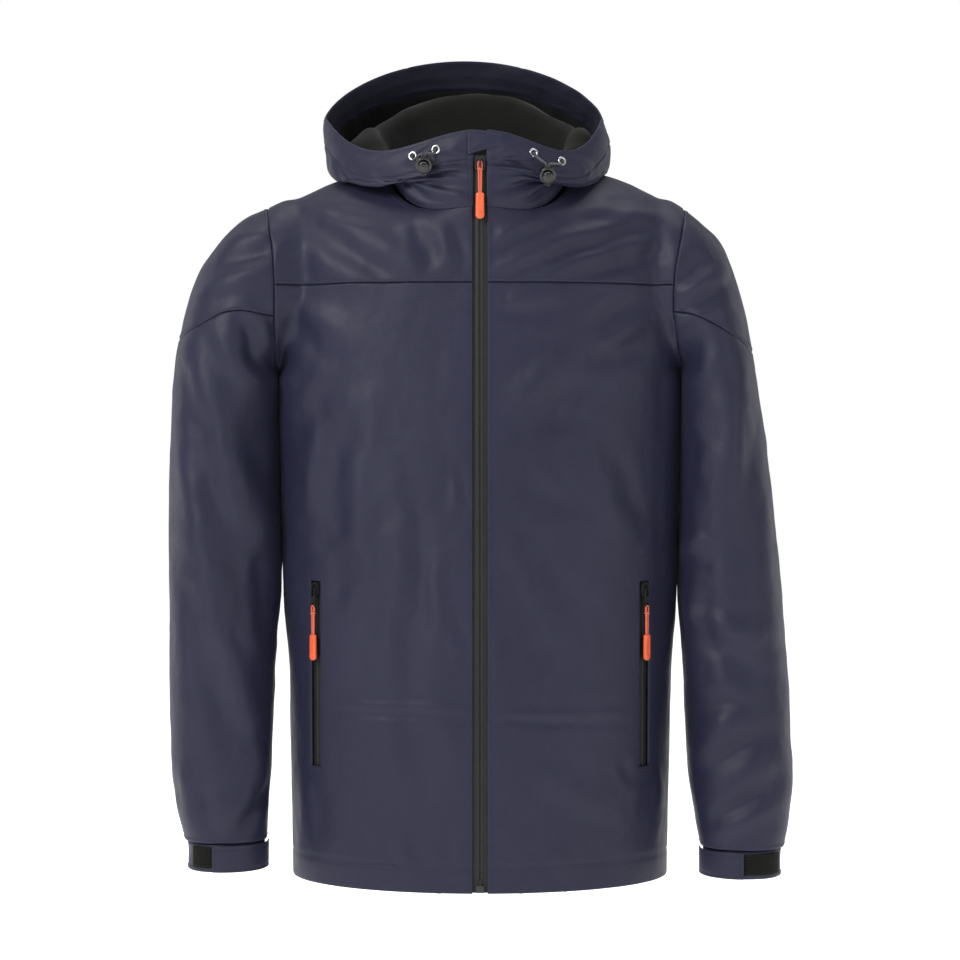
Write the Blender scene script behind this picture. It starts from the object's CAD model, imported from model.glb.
import math
import bmesh
import bpy
import numpy as np
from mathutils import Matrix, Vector
from mathutils.bvhtree import BVHTree


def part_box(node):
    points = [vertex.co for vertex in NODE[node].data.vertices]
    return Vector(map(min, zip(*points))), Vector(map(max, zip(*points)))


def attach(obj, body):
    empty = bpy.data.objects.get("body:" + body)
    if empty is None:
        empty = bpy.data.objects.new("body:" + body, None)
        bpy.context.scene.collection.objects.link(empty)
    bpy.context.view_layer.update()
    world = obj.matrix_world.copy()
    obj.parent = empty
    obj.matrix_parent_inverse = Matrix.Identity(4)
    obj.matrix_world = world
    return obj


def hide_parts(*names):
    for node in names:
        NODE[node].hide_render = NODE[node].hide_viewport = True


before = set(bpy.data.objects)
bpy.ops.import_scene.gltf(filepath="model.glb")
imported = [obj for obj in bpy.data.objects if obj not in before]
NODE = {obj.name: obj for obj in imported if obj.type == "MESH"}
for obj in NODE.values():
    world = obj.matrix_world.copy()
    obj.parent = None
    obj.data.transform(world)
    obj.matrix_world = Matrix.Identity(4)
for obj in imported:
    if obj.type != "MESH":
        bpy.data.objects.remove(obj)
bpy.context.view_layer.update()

MM = 0.001
rad = math.radians
SIDE_Y, BACK_LENGTH, YOKE, CHEST, CHEST_BACK = -62.0, 718.0, 115.0, 204.0, 106.0
HEM_HALF, HEM_BACK, ARMPIT, NECK_HALF = 194.0, 114.0, 190.0, 98.0
FRONT_TOP, FRONT_TOP_DEPTH, LEAN = 37.0, 100.0, rad(2.88)
ZIP_EDGE = 7.3

# ------------------------------------------------------------------ camera and light
cam = bpy.data.cameras.new("camera")
cam.sensor_width = 36
cam.lens = 36 * 2308 / 960
camera = bpy.data.objects.new("camera", cam)
camera.location = (0, -2.462, -0.312)
camera.rotation_euler = (math.pi / 2, 0, 0)
bpy.context.scene.collection.objects.link(camera)
bpy.context.scene.camera = camera


def area(name, spot, target, size, power, tone=(1, 1, 1)):
    lamp = bpy.data.lights.new(name, "AREA")
    lamp.shape = "RECTANGLE"
    lamp.size, lamp.size_y = size
    lamp.energy = power
    lamp.color = tone
    o = bpy.data.objects.new(name, lamp)
    o.location = spot
    o.rotation_euler = (Vector(target) - Vector(spot)).to_track_quat("-Z", "Y").to_euler()
    bpy.context.scene.collection.objects.link(o)


MID = (0, -0.1, -0.35)
area("key", (-1.6, -2.0, 1.2), MID, (1.1, 1.3), 66)
area("fill", (1.9, -1.9, 0.3), MID, (1.6, 1.8), 14)
area("top", (0, 0.1, 1.7), (0, -0.1, 0), (1.8, 1.0), 20)
area("rim_left", (-1.7, 0.9, 0.1), MID, (0.8, 1.6), 5)
area("rim_right", (1.7, 0.9, 0.1), MID, (0.8, 1.6), 5)
world = bpy.data.worlds.new("world")
bpy.context.scene.world = world
world.use_nodes = True
sky = world.node_tree.nodes["Background"]
seen = world.node_tree.nodes.new("ShaderNodeLightPath")
level = world.node_tree.nodes.new("ShaderNodeMapRange")
level.inputs[3].default_value, level.inputs[4].default_value = 0.42, 1.0
world.node_tree.links.new(seen.outputs["Is Camera Ray"], level.inputs[0])
world.node_tree.links.new(level.outputs[0], sky.inputs[1])
sky.inputs[0].default_value = (1, 1, 1, 1)
bpy.context.scene.view_settings.view_transform = "Standard"


# ------------------------------------------------------------------ small helpers
def mesh_object(name, verts, faces, uv=None):
    me = bpy.data.meshes.new(name)
    me.from_pydata((np.asarray(verts) * MM).tolist(), [], [list(f) for f in faces])
    if uv is not None:
        layer = me.uv_layers.new(name="UVMap")
        index = np.zeros(len(me.loops), int)
        me.loops.foreach_get("vertex_index", index)
        layer.data.foreach_set("uv", np.asarray(uv)[index].ravel())
    me.update()
    o = bpy.data.objects.new(name, me)
    bpy.context.scene.collection.objects.link(o)
    return o


def coords(me):
    co = np.zeros(len(me.vertices) * 3)
    me.vertices.foreach_get("co", co)
    return co.reshape(-1, 3) / MM


def put(me, co):
    me.vertices.foreach_set("co", (co * MM).ravel())
    me.update()


def normals(me):
    n = np.zeros(len(me.vertices) * 3)
    me.vertices.foreach_get("normal", n)
    return n.reshape(-1, 3)


def grid_faces(nu, nv, wrap=False):
    i, j = np.meshgrid(np.arange(nu if wrap else nu - 1), np.arange(nv - 1), indexing="ij")
    i2 = (i + 1) % nu
    return np.stack([i * nv + j, i2 * nv + j, i2 * nv + j + 1, i * nv + j + 1], -1).reshape(-1, 4)


def apply_modifiers(o):
    deps = bpy.context.evaluated_depsgraph_get()
    me = bpy.data.meshes.new_from_object(o.evaluated_get(deps))
    old = o.data
    o.modifiers.clear()
    o.data = me
    bpy.data.meshes.remove(old)


def shade(o, angle=None):
    o.data.polygons.foreach_set("use_smooth", [True] * len(o.data.polygons))
    if angle:
        o.data.set_sharp_from_angle(angle=rad(angle))
    o.data.update()


def smooth_step(a, b, x):
    t = np.clip((x - a) / (b - a), 0, 1)
    return t * t * (3 - 2 * t)


def noise(p, scale, seed):
    """Value noise from -1 to 1 at points p, with features about scale across."""
    q = np.asarray(p, float) / np.asarray(scale, float) + seed * 17.31
    base = np.floor(q).astype(np.int64)
    f = q - base
    f = f * f * f * (f * (f * 6 - 15) + 10)
    out = 0
    for dx in (0, 1):
        for dy in (0, 1):
            for dz in (0, 1):
                h = (base[..., 0] + dx) * 73856093 ^ (base[..., 1] + dy) * 19349663 ^ (base[..., 2] + dz) * 83492791
                h = (h ^ (h >> 13)) * 1274126177 & 0x7FFFFFFF
                h = (h ^ (h >> 15)) & 0xFFFF
                w = np.where(dx, f[..., 0], 1 - f[..., 0]) * np.where(dy, f[..., 1], 1 - f[..., 1])
                out = out + w * np.where(dz, f[..., 2], 1 - f[..., 2]) * (h / 32767.5 - 1)
    return out


# ------------------------------------------------------------------ surfaces, as in the CAD
def smooth_rows(rows, t):
    rows = np.asarray(rows, float)
    n = len(rows)
    span = np.clip(t, 0, 1) * (n - 1)
    i = np.minimum(np.floor(span).astype(int), n - 2)
    f = (span - i)[..., None]
    a, b = rows[np.clip(i - 1, 0, n - 1)], rows[i]
    c, d = rows[i + 1], rows[np.clip(i + 2, 0, n - 1)]
    m0, m1 = (c - a) / 2, (d - b) / 2
    f2, f3 = f * f, f * f * f
    return (2 * f3 - 3 * f2 + 1) * b + (3 * f2 - 2 * f3) * c + (f3 - 2 * f2 + f) * m0 + (f3 - f2) * m1


def centre_front(z):
    return SIDE_Y - FRONT_TOP_DEPTH - (FRONT_TOP - z) * math.tan(LEAN)


def ring(front, side, back, half, depth, square=2, dip=0, shift=0, rise=2):
    return [front, side, back, half, SIDE_Y - centre_front(front), depth, square, dip, shift, rise]


def skirt(share, square):
    z = -ARMPIT - share * (BACK_LENGTH - ARMPIT)
    half = CHEST + share * (HEM_HALF - CHEST)
    return ring(z, z, z, half, CHEST_BACK + share * (HEM_BACK - CHEST_BACK), square)


NECK = ring(-39, 15, 0, NECK_HALF, 62, 2, 20, -1)
TORSO = [
    skirt(1, 2.05), skirt(0.72, 2.1), skirt(0.44, 2.2), skirt(0.18, 2.3),
    ring(-182, -172, -182, 206, 109, 2.4), ring(-136, -100, -132, 208, 108, 2.4),
    ring(-98, -38, -84, 203, 102, 2.3), ring(-68, -9, -42, 98 + 0.63 * 106, 90, 2.15, 4),
    ring(-50, 5, -14, 98 + 0.26 * 106, 75, 2.05, 12), NECK,
]
HOOD = [
    NECK, ring(-27, 34, 55, 102, 66, 2, 16, -3), ring(-14, 46, 96, 109, 74, 2, 20, -5),
    ring(-3, 28, 42, 124, 102, 2, 22, -8), ring(8, 6, -18, 144, 136, 2, 24, -13),
    ring(21, 30, 52, 150, 166, 2, 26, -14), ring(37, 64, 144, 145, 115, 2, 30, -17, 1.2),
]


def ring_point(row, a):
    front, side, back, half, ahead, behind, square, dip, shift, rise = np.moveaxis(row, -1, 0)
    s, c = np.sin(a), np.cos(a)
    power = 2 / square
    ends = np.where(c > 0, front, back)
    sag = np.where(c > 0, dip * np.sin(2 * a) ** 2, 0)
    aside = shift * np.where(c > 0, 1 - c * c, 1)
    x = half * np.sign(s) * np.abs(s) ** power + aside
    y = SIDE_Y - np.where(c > 0, ahead, behind) * np.sign(c) * np.abs(c) ** power
    up = np.abs(c) ** np.where(c > 0, 2, rise)
    return np.stack([x, y, side + (ends - side) * up - sag], -1)


def torso_point(a, t):
    return ring_point(smooth_rows(TORSO, t), a)


def hood_point(a, t):
    return ring_point(smooth_rows(HOOD, t), a)


SLEEVE = {
    "right": dict(
        sign=-1,
        rows=[[-64, -48, -64, -150, 50, 0], [-14, -22, -18, -182, 71, 0], [12, -28, 0, -190, 77, 1],
              [41, -44, 5, -203, 78, 2], [66, -68, 7, -222, 78, 3], [89, -104, 8, -248, 77, 4],
              [104, -152, 8, -285, 76, 6], [113, -220, 8, -330, 74, 9], [116, -330, 7, -400, 70, 14],
              [116, -450, 7, -480, 64, 22], [114, -570, 8, -575, 57, 32], [108, -632, 10, -632, 51, 38],
              [97, -677, 13, -677, 45, 42]],
        arm=[[20, 30], [16, -30], [8, -62], [3, -104], [3, -135], [3.5, -170], [4, -200]],
        cap=[[-10, -150], [35, -141], [56, -143], [82, -156], [130, -180]],
        free=-12, sewn=-100, patch=49),
    "left": dict(
        sign=1,
        rows=[[-64, -48, -64, -150, 50, 0], [-16, -22, -22, -182, 70, 0], [2, -28, -5, -190, 76, 1],
              [25, -44, 3, -203, 77, 2], [45, -68, 6, -222, 77, 3], [60, -104, 7, -248, 76, 4],
              [72, -152, 7, -285, 75, 6], [83, -220, 7, -330, 73, 9], [97, -330, 6, -400, 69, 14],
              [108, -450, 5, -480, 64, 22], [114, -570, 8, -575, 57, 32], [114, -634, 13, -634, 51, 38],
              [106, -684, 21, -684, 45, 42]],
        arm=[[12, 30], [8, -30], [0, -62], [-8, -100], [-10, -135], [-4, -172], [3, -200]],
        cap=[[-30, -140], [9, -144], [35, -156], [61, -171], [130, -215]],
        free=5, sewn=-100, patch=58),
}
LOWER_ARM = [[2.5, -260], [-1.5, -437], [0, -560], [4, -640], [5, -778]]


def sleeve_point(s, a, t):
    ox, oz, ix, iz, depth, fwd = np.moveaxis(smooth_rows(s["rows"], t), -1, 0)
    bend = lambda v: np.sign(v) * np.abs(v) ** (2 / 2.15)
    share = 0.5 - 0.5 * bend(np.cos(a))
    x = s["sign"] * (CHEST + ox + (ix - ox) * share)
    return np.stack([x, SIDE_Y - fwd - depth * bend(np.sin(a)), oz + (iz - oz) * share], -1)


def arm_x(s, z):
    """How far out the armhole seam is at a height, as a smooth line."""
    line = np.array(s["arm"] + LOWER_ARM, float)[::-1]
    zs = np.linspace(-790, 60, 400)
    xs = np.interp(zs, line[:, 1], line[:, 0])
    k = np.exp(-0.5 * (np.arange(-12, 13) / 5.0) ** 2)
    xs = np.convolve(np.pad(xs, 12, "edge"), k / k.sum(), "valid")
    return CHEST + np.interp(z, zs, xs)


def cap_z(s, x):
    line = np.array(s["cap"], float)
    xs = np.linspace(-60, 140, 200)
    zs = np.interp(xs, line[:, 0], line[:, 1])
    k = np.exp(-0.5 * (np.arange(-12, 13) / 5.0) ** 2)
    zs = np.convolve(np.pad(zs, 12, "edge"), k / k.sum(), "valid")
    return np.interp(x * s["sign"] - CHEST, xs, zs)


def neck_z(p):
    a = np.arctan2(p[:, 0] / NECK_HALF, -(p[:, 1] - SIDE_Y) / np.where(p[:, 1] < SIDE_Y, 98, 62))
    return ring_point(np.broadcast_to(np.array(NECK), (len(a), 10)), a)[:, 2]


# ------------------------------------------------------------------ the body as one skin
def closed_loft(point, around, levels, pad0, pad1):
    a = np.linspace(0, 2 * np.pi, around, endpoint=False)
    rings = [point(a, np.full(around, t)) for t in levels]
    way0, way1 = rings[0] - rings[1], rings[-1] - rings[-2]
    if pad0:
        rings.insert(0, rings[0] + way0 / np.linalg.norm(way0, axis=1, keepdims=True) * pad0)
    if pad1:
        rings.append(rings[-1] + way1 / np.linalg.norm(way1, axis=1, keepdims=True) * pad1)
    n = len(rings)
    verts = np.concatenate(rings + [rings[0].mean(0)[None], rings[-1].mean(0)[None]])
    faces = []
    for j in range(n - 1):
        for i in range(around):
            k = (i + 1) % around
            faces.append((j * around + i, j * around + k, (j + 1) * around + k, (j + 1) * around + i))
    for i in range(around):
        k = (i + 1) % around
        faces.append((n * around, k, i))
        faces.append((n * around + 1, (n - 1) * around + i, (n - 1) * around + k))
    return verts, faces


def join_parts(parts):
    verts, faces, base = [], [], 0
    for v, f in parts:
        verts.append(v)
        faces += [tuple(i + base for i in q) for q in f]
        base += len(v)
    return np.concatenate(verts), faces


def make_skin(voxel):
    parts = [closed_loft(torso_point, 160, np.linspace(0, 1, 90), 14, 10)]
    for s in SLEEVE.values():
        parts.append(closed_loft(lambda a, t: sleeve_point(s, a, t), 96, np.linspace(0, 1, 90), 0, 14))
    v, f = join_parts(parts)
    o = mesh_object("skin", v, f)
    bm = bmesh.new()
    bm.from_mesh(o.data)
    bmesh.ops.recalc_face_normals(bm, faces=bm.faces)
    bm.to_mesh(o.data)
    bm.free()
    m = o.modifiers.new("r", "REMESH")
    m.mode = "VOXEL"
    m.voxel_size = voxel * MM
    apply_modifiers(o)
    return o


def edge_array(me):
    e = np.zeros(len(me.edges) * 2, int)
    me.edges.foreach_get("vertices", e)
    return e.reshape(-1, 2)


def relax(me, co, rounds, weight=None, step=0.5):
    e = edge_array(me)
    count = np.bincount(e.ravel(), minlength=len(co))[:, None]
    for _ in range(rounds):
        total = np.zeros_like(co)
        np.add.at(total, e[:, 0], co[e[:, 1]])
        np.add.at(total, e[:, 1], co[e[:, 0]])
        move = (total / np.maximum(count, 1) - co) * step
        co = co + (move if weight is None else move * weight[:, None])
    return co


# ------------------------------------------------------------------ folds seen from the front
# part (b body, r and l sleeves), height, width, and a line of (x, z), all in millimetres
FOLDS = [
    ("b", 3.2, 13, [(-153, -50), (-104, -79), (-54, -107)]),
    ("b", -3.4, 12, [(-193, -40), (-139, -74), (-79, -104)]),
    ("b", -2.6, 9, [(-67, -45), (-57, -74), (-47, -104)]),
    ("b", 2.2, 9, [(-40, -55), (-32, -84), (-35, -109)]),
    ("b", -2.0, 6, [(-27, -60), (-17, -84), (-14, -107)]),
    ("b", 2.2, 12, [(-193, -74), (-153, -97), (-119, -112)]),
    ("b", -1.8, 8, [(-168, -35), (-109, -45), (-69, -40)]),
    ("b", 3.4, 15, [(-187, -131), (-153, -159), (-119, -186)]),
    ("b", -3.0, 14, [(-194, -145), (-163, -173), (-134, -188)]),
    ("b", 3.0, 16, [(-193, -188), (-187, -228), (-189, -262)]),
    ("b", -2.6, 14, [(-176, -262), (-153, -228), (-124, -203)]),
    ("b", 2.6, 22, [(-124, -208), (-109, -248), (-116, -312), (-123, -411)]),
    ("b", -3.6, 17, [(-133, -253), (-144, -302), (-148, -362), (-143, -411)]),
    ("b", 2.8, 16, [(-168, -253), (-173, -312), (-187, -342)]),
    ("b", 2.2, 14, [(-84, -292), (-79, -362), (-84, -460), (-92, -530)]),
    ("b", -2.2, 14, [(-67, -322), (-62, -411), (-74, -510), (-69, -574)]),
    ("b", 2.4, 11, [(-47, -391), (-40, -441), (-50, -490)]),
    ("b", -1.8, 7, [(-20, -292), (-14, -332), (-17, -357)]),
    ("b", 1.8, 6, [(-25, -312), (-21, -342)]),
    ("b", -1.8, 7, [(-20, -451), (-13, -480), (-16, -503)]),
    ("b", 1.6, 8, [(-27, -460), (-24, -490)]),
    ("b", -2.4, 12, [(-153, -446), (-144, -416), (-133, -396)]),
    ("b", 1.2, 5, [(-153, -535), (-94, -536), (-20, -538)]),
    ("b", -1.2, 5, [(-153, -543), (-94, -544), (-20, -546)]),
    ("b", -2.4, 20, [(-69, -550), (-54, -579), (-59, -629)]),
    ("b", 2.2, 12, [(-79, -663), (-75, -693), (-81, -723)]),
    ("b", -2.0, 9, [(-86, -673), (-84, -708)]),
    ("b", 2.0, 10, [(-15, -663), (-22, -708)]),
    ("b", 2.2, 9, [(-181, -604), (-176, -644), (-178, -673)]),
    ("b", 2.8, 9, [(12, -107), (79, -77), (158, -50)]),
    ("b", -3.0, 8, [(25, -109), (94, -82), (178, -57)]),
    ("b", 2.8, 9, [(59, -112), (124, -84), (188, -64)]),
    ("b", -2.4, 8, [(109, -109), (158, -92), (191, -77)]),
    ("b", 2.4, 8, [(10, -79), (40, -57), (79, -35)]),
    ("b", -2.4, 8, [(7, -94), (50, -67), (99, -40)]),
    ("b", 2.2, 8, [(99, -35), (144, -40), (198, -52)]),
    ("b", -1.8, 6, [(7, -45), (12, -74), (10, -104)]),
    ("b", 3.2, 13, [(119, -181), (153, -159), (188, -131)]),
    ("b", -3.0, 13, [(109, -159), (144, -143), (183, -125)]),
    ("b", -3.4, 13, [(104, -188), (144, -188), (178, -159)]),
    ("b", 2.8, 15, [(30, -233), (64, -208), (94, -196)]),
    ("b", -3.0, 16, [(87, -211), (79, -238), (85, -272)]),
    ("b", 2.4, 13, [(25, -136), (59, -131), (89, -126)]),
    ("b", -2.0, 9, [(20, -145), (50, -145), (79, -139)]),
    ("b", -2.2, 14, [(30, -272), (59, -253), (79, -233)]),
    ("b", 2.6, 18, [(104, -277), (129, -322), (156, -376)]),
    ("b", -2.4, 14, [(129, -282), (148, -332), (171, -376)]),
    ("b", -2.2, 14, [(40, -312), (69, -332), (99, -332)]),
    ("b", 2.0, 16, [(30, -362), (59, -431), (99, -475)]),
    ("b", -2.0, 15, [(50, -362), (79, -421), (119, -460)]),
    ("b", 2.4, 9, [(10, -441), (16, -490), (14, -545)]),
    ("b", 1.2, 5, [(15, -541), (79, -543), (153, -547)]),
    ("b", -1.2, 5, [(15, -549), (79, -551), (153, -555)]),
    ("b", 2.0, 14, [(59, -599), (109, -629), (148, -634)]),
    ("b", -2.2, 9, [(144, -594), (158, -604), (171, -597)]),
    ("b", 2.0, 10, [(178, -604), (181, -644), (177, -678)]),
    ("b", 1.8, 9, [(79, -673), (82, -708)]),
    ("r", 3.4, 12, [(-274, -79), (-239, -68), (-200, -58)]),
    ("r", -3.4, 11, [(-254, -96), (-228, -84), (-203, -79)]),
    ("r", 3.0, 11, [(-284, -124), (-249, -109), (-206, -101)]),
    ("r", -3.2, 10, [(-249, -145), (-233, -160), (-221, -185)]),
    ("r", 4.0, 11, [(-265, -160), (-249, -190), (-223, -223)]),
    ("r", -4.0, 10, [(-241, -149), (-228, -175), (-207, -210)]),
    ("r", 3.4, 9, [(-223, -152), (-216, -180), (-205, -203)]),
    ("r", 4.2, 16, [(-294, -175), (-269, -231), (-249, -297), (-223, -363), (-212, -403)]),
    ("r", -4.0, 15, [(-300, -210), (-279, -282), (-259, -342), (-241, -403), (-228, -454)]),
    ("r", 3.2, 17, [(-299, -292), (-284, -363), (-269, -429), (-254, -490)]),
    ("r", -3.8, 15, [(-293, -429), (-274, -495), (-254, -551), (-239, -581)]),
    ("r", 3.4, 14, [(-269, -454), (-244, -520), (-223, -576)]),
    ("r", -3.4, 10, [(-226, -383), (-216, -439), (-209, -505)]),
    ("r", 3.4, 11, [(-212, -586), (-228, -616), (-249, -652)]),
    ("r", -3.6, 9, [(-213, -622), (-226, -647), (-239, -670)]),
    ("r", 3.0, 8, [(-215, -639), (-223, -660), (-228, -672)]),
    ("r", 2.8, 12, [(-295, -606), (-291, -642), (-288, -672)]),
    ("r", -2.6, 9, [(-277, -616), (-274, -647), (-275, -672)]),
    ("l", 3.0, 11, [(198, -53), (223, -73), (239, -99)]),
    ("l", -3.2, 10, [(200, -109), (218, -96), (233, -84)]),
    ("l", 3.6, 10, [(200, -129), (228, -112), (254, -94)]),
    ("l", -3.8, 9, [(198, -147), (223, -129), (249, -112)]),
    ("l", 3.6, 10, [(190, -160), (208, -147), (228, -140)]),
    ("l", -4.0, 13, [(188, -231), (203, -195), (228, -160)]),
    ("l", 4.2, 15, [(266, -185), (254, -246), (244, -302), (228, -363), (206, -393)]),
    ("l", -4.0, 14, [(193, -251), (213, -292), (203, -353), (189, -398)]),
    ("l", 3.2, 15, [(233, -221), (223, -271), (218, -332), (198, -383)]),
    ("l", -3.4, 14, [(279, -251), (274, -332), (254, -414)]),
    ("l", 4.4, 9, [(188, -401), (213, -386), (233, -365)]),
    ("l", -4.4, 8, [(190, -414), (203, -439), (208, -485)]),
    ("l", 4.0, 10, [(221, -414), (213, -464), (209, -525)]),
    ("l", -3.6, 14, [(231, -469), (254, -490), (284, -520)]),
    ("l", 4.0, 13, [(223, -454), (259, -467), (292, -464)]),
    ("l", 3.6, 12, [(208, -601), (239, -566), (279, -525)]),
    ("l", -3.4, 11, [(213, -545), (244, -535), (279, -540)]),
    ("l", -3.6, 11, [(228, -601), (259, -581), (297, -566)]),
    ("l", 3.2, 11, [(223, -632), (254, -616), (297, -586)]),
    ("l", -3.0, 9, [(228, -657), (259, -637), (294, -616)]),
    ("l", 2.8, 9, [(239, -672), (269, -652), (299, -637)]),
]


def along_line(p, line):
    """Distance of points (x, z) from a line, and how far along it they are, from 0 to 1."""
    line = np.array(line, float)
    seg = np.diff(line, axis=0)
    size = np.linalg.norm(seg, axis=1)
    start = np.concatenate([[0], np.cumsum(size)])
    best, share = np.full(len(p), 1e9), np.zeros(len(p))
    for k in range(len(seg)):
        q = p - line[k]
        u = np.clip((q @ seg[k]) / size[k] ** 2, 0, 1)
        d = np.linalg.norm(q - u[:, None] * seg[k], axis=1)
        near = d < best
        best = np.where(near, d, best)
        share = np.where(near, (start[k] + u * size[k]) / start[-1], share)
    return best, share


def smooth_line(line):
    line = np.array(line, float)
    if len(line) < 3:
        return line
    return smooth_rows(line, np.linspace(0, 1, 5 * (len(line) - 1)))


def fold_height(p, n):
    """How far the fabric stands out at points p with normals n."""
    out = np.zeros(len(p))
    facing = smooth_step(0.05, 0.55, -n[:, 1])
    right, left = SLEEVE["right"], SLEEVE["left"]
    on_right = smooth_step(-6, 6, -p[:, 0] - arm_x(right, p[:, 2]))
    on_left = smooth_step(-6, 6, p[:, 0] - arm_x(left, p[:, 2]))
    place = {"b": 1 - np.maximum(on_right, on_left), "r": on_right, "l": on_left}
    for k, (part, high, wide, line) in enumerate(FOLDS):
        line = smooth_line(line)
        lo, hi = line.min(0) - 3.2 * wide, line.max(0) + 3.2 * wide
        i = np.where(
            (p[:, 0] > lo[0]) & (p[:, 0] < hi[0]) & (p[:, 2] > lo[1]) & (p[:, 2] < hi[1]) & (facing > 0)
        )[0]
        if not len(i):
            continue
        q = p[i]
        bent = q[:, [0, 2]] + np.stack([noise(q, 26, k), noise(q, 31, k + 90)], -1) * wide * 0.35
        d, u = along_line(bent, line)
        ends = np.sin(np.clip(u, 0.02, 0.98) * np.pi) ** 0.5
        r = d / (wide * (0.75 + 0.4 * u))
        bump = np.exp(-r * r) - 0.28 * np.exp(-((r - 1.7) ** 2) * 1.6)
        out[i] += high * bump * ends * facing[i] * place[part][i]
    return out


def soft_noise(p, n):
    """Slack that the listed folds leave out: the back, the sides and the small unevenness."""
    back = smooth_step(-0.2, 0.5, n[:, 1])
    q = p.copy()
    q[:, 0] += 14 * noise(p, (60, 60, 90), 5)
    long = noise(q, (34, 60, 210), 1) * 3.4 + noise(q, (19, 40, 120), 2) * 1.3
    cross = noise(np.stack([q[:, 0] + 0.6 * q[:, 2], q[:, 1], q[:, 2] - 0.5 * q[:, 0]], -1), (60, 60, 26), 3)
    small = noise(p, (13, 13, 21), 7) * 0.35 + noise(p, (7, 7, 9), 8) * 0.12
    on_arm = smooth_step(CHEST, CHEST + 20, np.abs(p[:, 0]))
    lively = 0.22 + 0.9 * back
    return (long + (0.5 + 1.6 * on_arm) * cross) * lively * (1 + 0.5 * on_arm) + small


# ------------------------------------------------------------------ cutting the skin into panels
def slice_at(o, field, values, region):
    """Cuts edges where the field takes each value. field returns (warped co, undo, axis)."""
    me = o.data
    co = coords(me)
    keep = region(co)
    warped, undo, axis = field(co)
    bm = bmesh.new()
    bm.from_mesh(me)
    verts = [v for v, k in zip(bm.verts, keep) if k]
    inside = set(verts)
    for v, c in zip(verts, warped[keep] * MM):
        v.co = c
    faces = [f for f in {f for v in verts for f in v.link_faces} if all(v in inside for v in f.verts)]
    geom = verts + list({e for f in faces for e in f.edges}) + faces
    spot, way = Vector((0, 0, 0)), Vector((0, 0, 0))
    way[axis] = 1
    for value in values:
        spot[axis] = value * MM
        got = bmesh.ops.bisect_plane(bm, geom=geom, dist=0.0001, plane_co=spot, plane_no=way)
        geom = got["geom"]
    moved = list(inside | {g for g in geom if isinstance(g, bmesh.types.BMVert)})
    back = undo(np.array([v.co for v in moved]) / MM) * MM
    for v, c in zip(moved, back):
        v.co = c
    bm.to_mesh(me)
    bm.free()


def plain(axis):
    return lambda co: (co, lambda c: c, axis)


def arm_field(s):
    def field(co):
        w = co.copy()
        w[:, 0] = s["sign"] * co[:, 0] - arm_x(s, co[:, 2])

        def undo(c):
            c = c.copy()
            c[:, 0] = s["sign"] * (c[:, 0] + arm_x(s, c[:, 2]))
            return c

        return w, undo, 0

    return field


def cap_field(s):
    def field(co):
        w = co.copy()
        w[:, 2] = co[:, 2] - cap_z(s, co[:, 0])

        def undo(c):
            c = c.copy()
            c[:, 2] = c[:, 2] + cap_z(s, c[:, 0])
            return c

        return w, undo, 2

    return field


def neck_field(co):
    w = co.copy()
    w[:, 2] = co[:, 2] - neck_z(co)

    def undo(c):
        c = c.copy()
        c[:, 2] = c[:, 2] + neck_z(c)
        return c

    return w, undo, 2


PANELS = [
    "front_panel_right", "front_panel_left", "front_yoke_right", "front_yoke_left", "back_panel",
    "back_yoke", "sleeve_right", "sleeve_left", "sleeve_cap_right", "sleeve_cap_left",
]


def panel_of(p):
    """Which panel each point lies on, as an index in PANELS, or -1 where there is no fabric."""
    x, y, z = p.T
    out_r = -x - arm_x(SLEEVE["right"], z) > 0
    out_l = x - arm_x(SLEEVE["left"], z) > 0
    body = ~out_r & ~out_l
    front, high, left = y < SIDE_Y, z > -YOKE, x > 0
    kind = np.full(len(p), -1)
    kind[body & front & ~high & ~left] = 0
    kind[body & front & ~high & left] = 1
    kind[body & front & high & ~left] = 2
    kind[body & front & high & left] = 3
    kind[body & ~front & ~high] = 4
    kind[body & ~front & high] = 5
    kind[out_r & (z < cap_z(SLEEVE["right"], x))] = 6
    kind[out_l & (z < cap_z(SLEEVE["left"], x))] = 7
    kind[out_r & (z >= cap_z(SLEEVE["right"], x))] = 8
    kind[out_l & (z >= cap_z(SLEEVE["left"], x))] = 9
    kind[body & front & (np.abs(x) < ZIP_EDGE)] = -1
    kind[body & (z > neck_z(p))] = -1
    kind[z < -BACK_LENGTH] = -1
    kind[out_r & (z < -677) & (x < -206)] = -1
    kind[out_l & (z < -684) & (x > 206)] = -1
    return kind


POCKETS = {}
for side, sg in (("right", -1), ("left", 1)):
    POCKETS[side] = (
        np.array([sg * 166.0, -136.751, -414.0]),
        np.array([[0.70091, sg * 0.71325, 0], [-sg * 0.71324, 0.70090, 0.00459],
                  [sg * 0.00328, -0.00322, 0.99999]]),
    )
MOUTH, MOUTH_LENGTH = 6.5, 186.0


def pocket_local(side, p):
    o, axes = POCKETS[side]
    return (p - o) @ axes.T


def pocket_field(side, axis):
    o, axes = POCKETS[side]
    return lambda co: (pocket_local(side, co), lambda c: c @ axes + o, axis)


def near_pocket(side):
    def region(co):
        q = pocket_local(side, co)
        return (np.abs(q[:, 0]) < 26) & (np.abs(q[:, 1]) < 24) & (q[:, 2] < 50) & (q[:, 2] > -214)

    return region


def in_mouth(p):
    hit = np.zeros(len(p), bool)
    for side in POCKETS:
        q = pocket_local(side, p)
        hit |= (np.abs(q[:, 0]) < MOUTH) & (np.abs(q[:, 1]) < 20) & (q[:, 2] < 0) & (q[:, 2] > -MOUTH_LENGTH)
    return hit


EDGE, ROW = 1.6, 3.4  # rounding beside a seam, and the row of stitches


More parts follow.
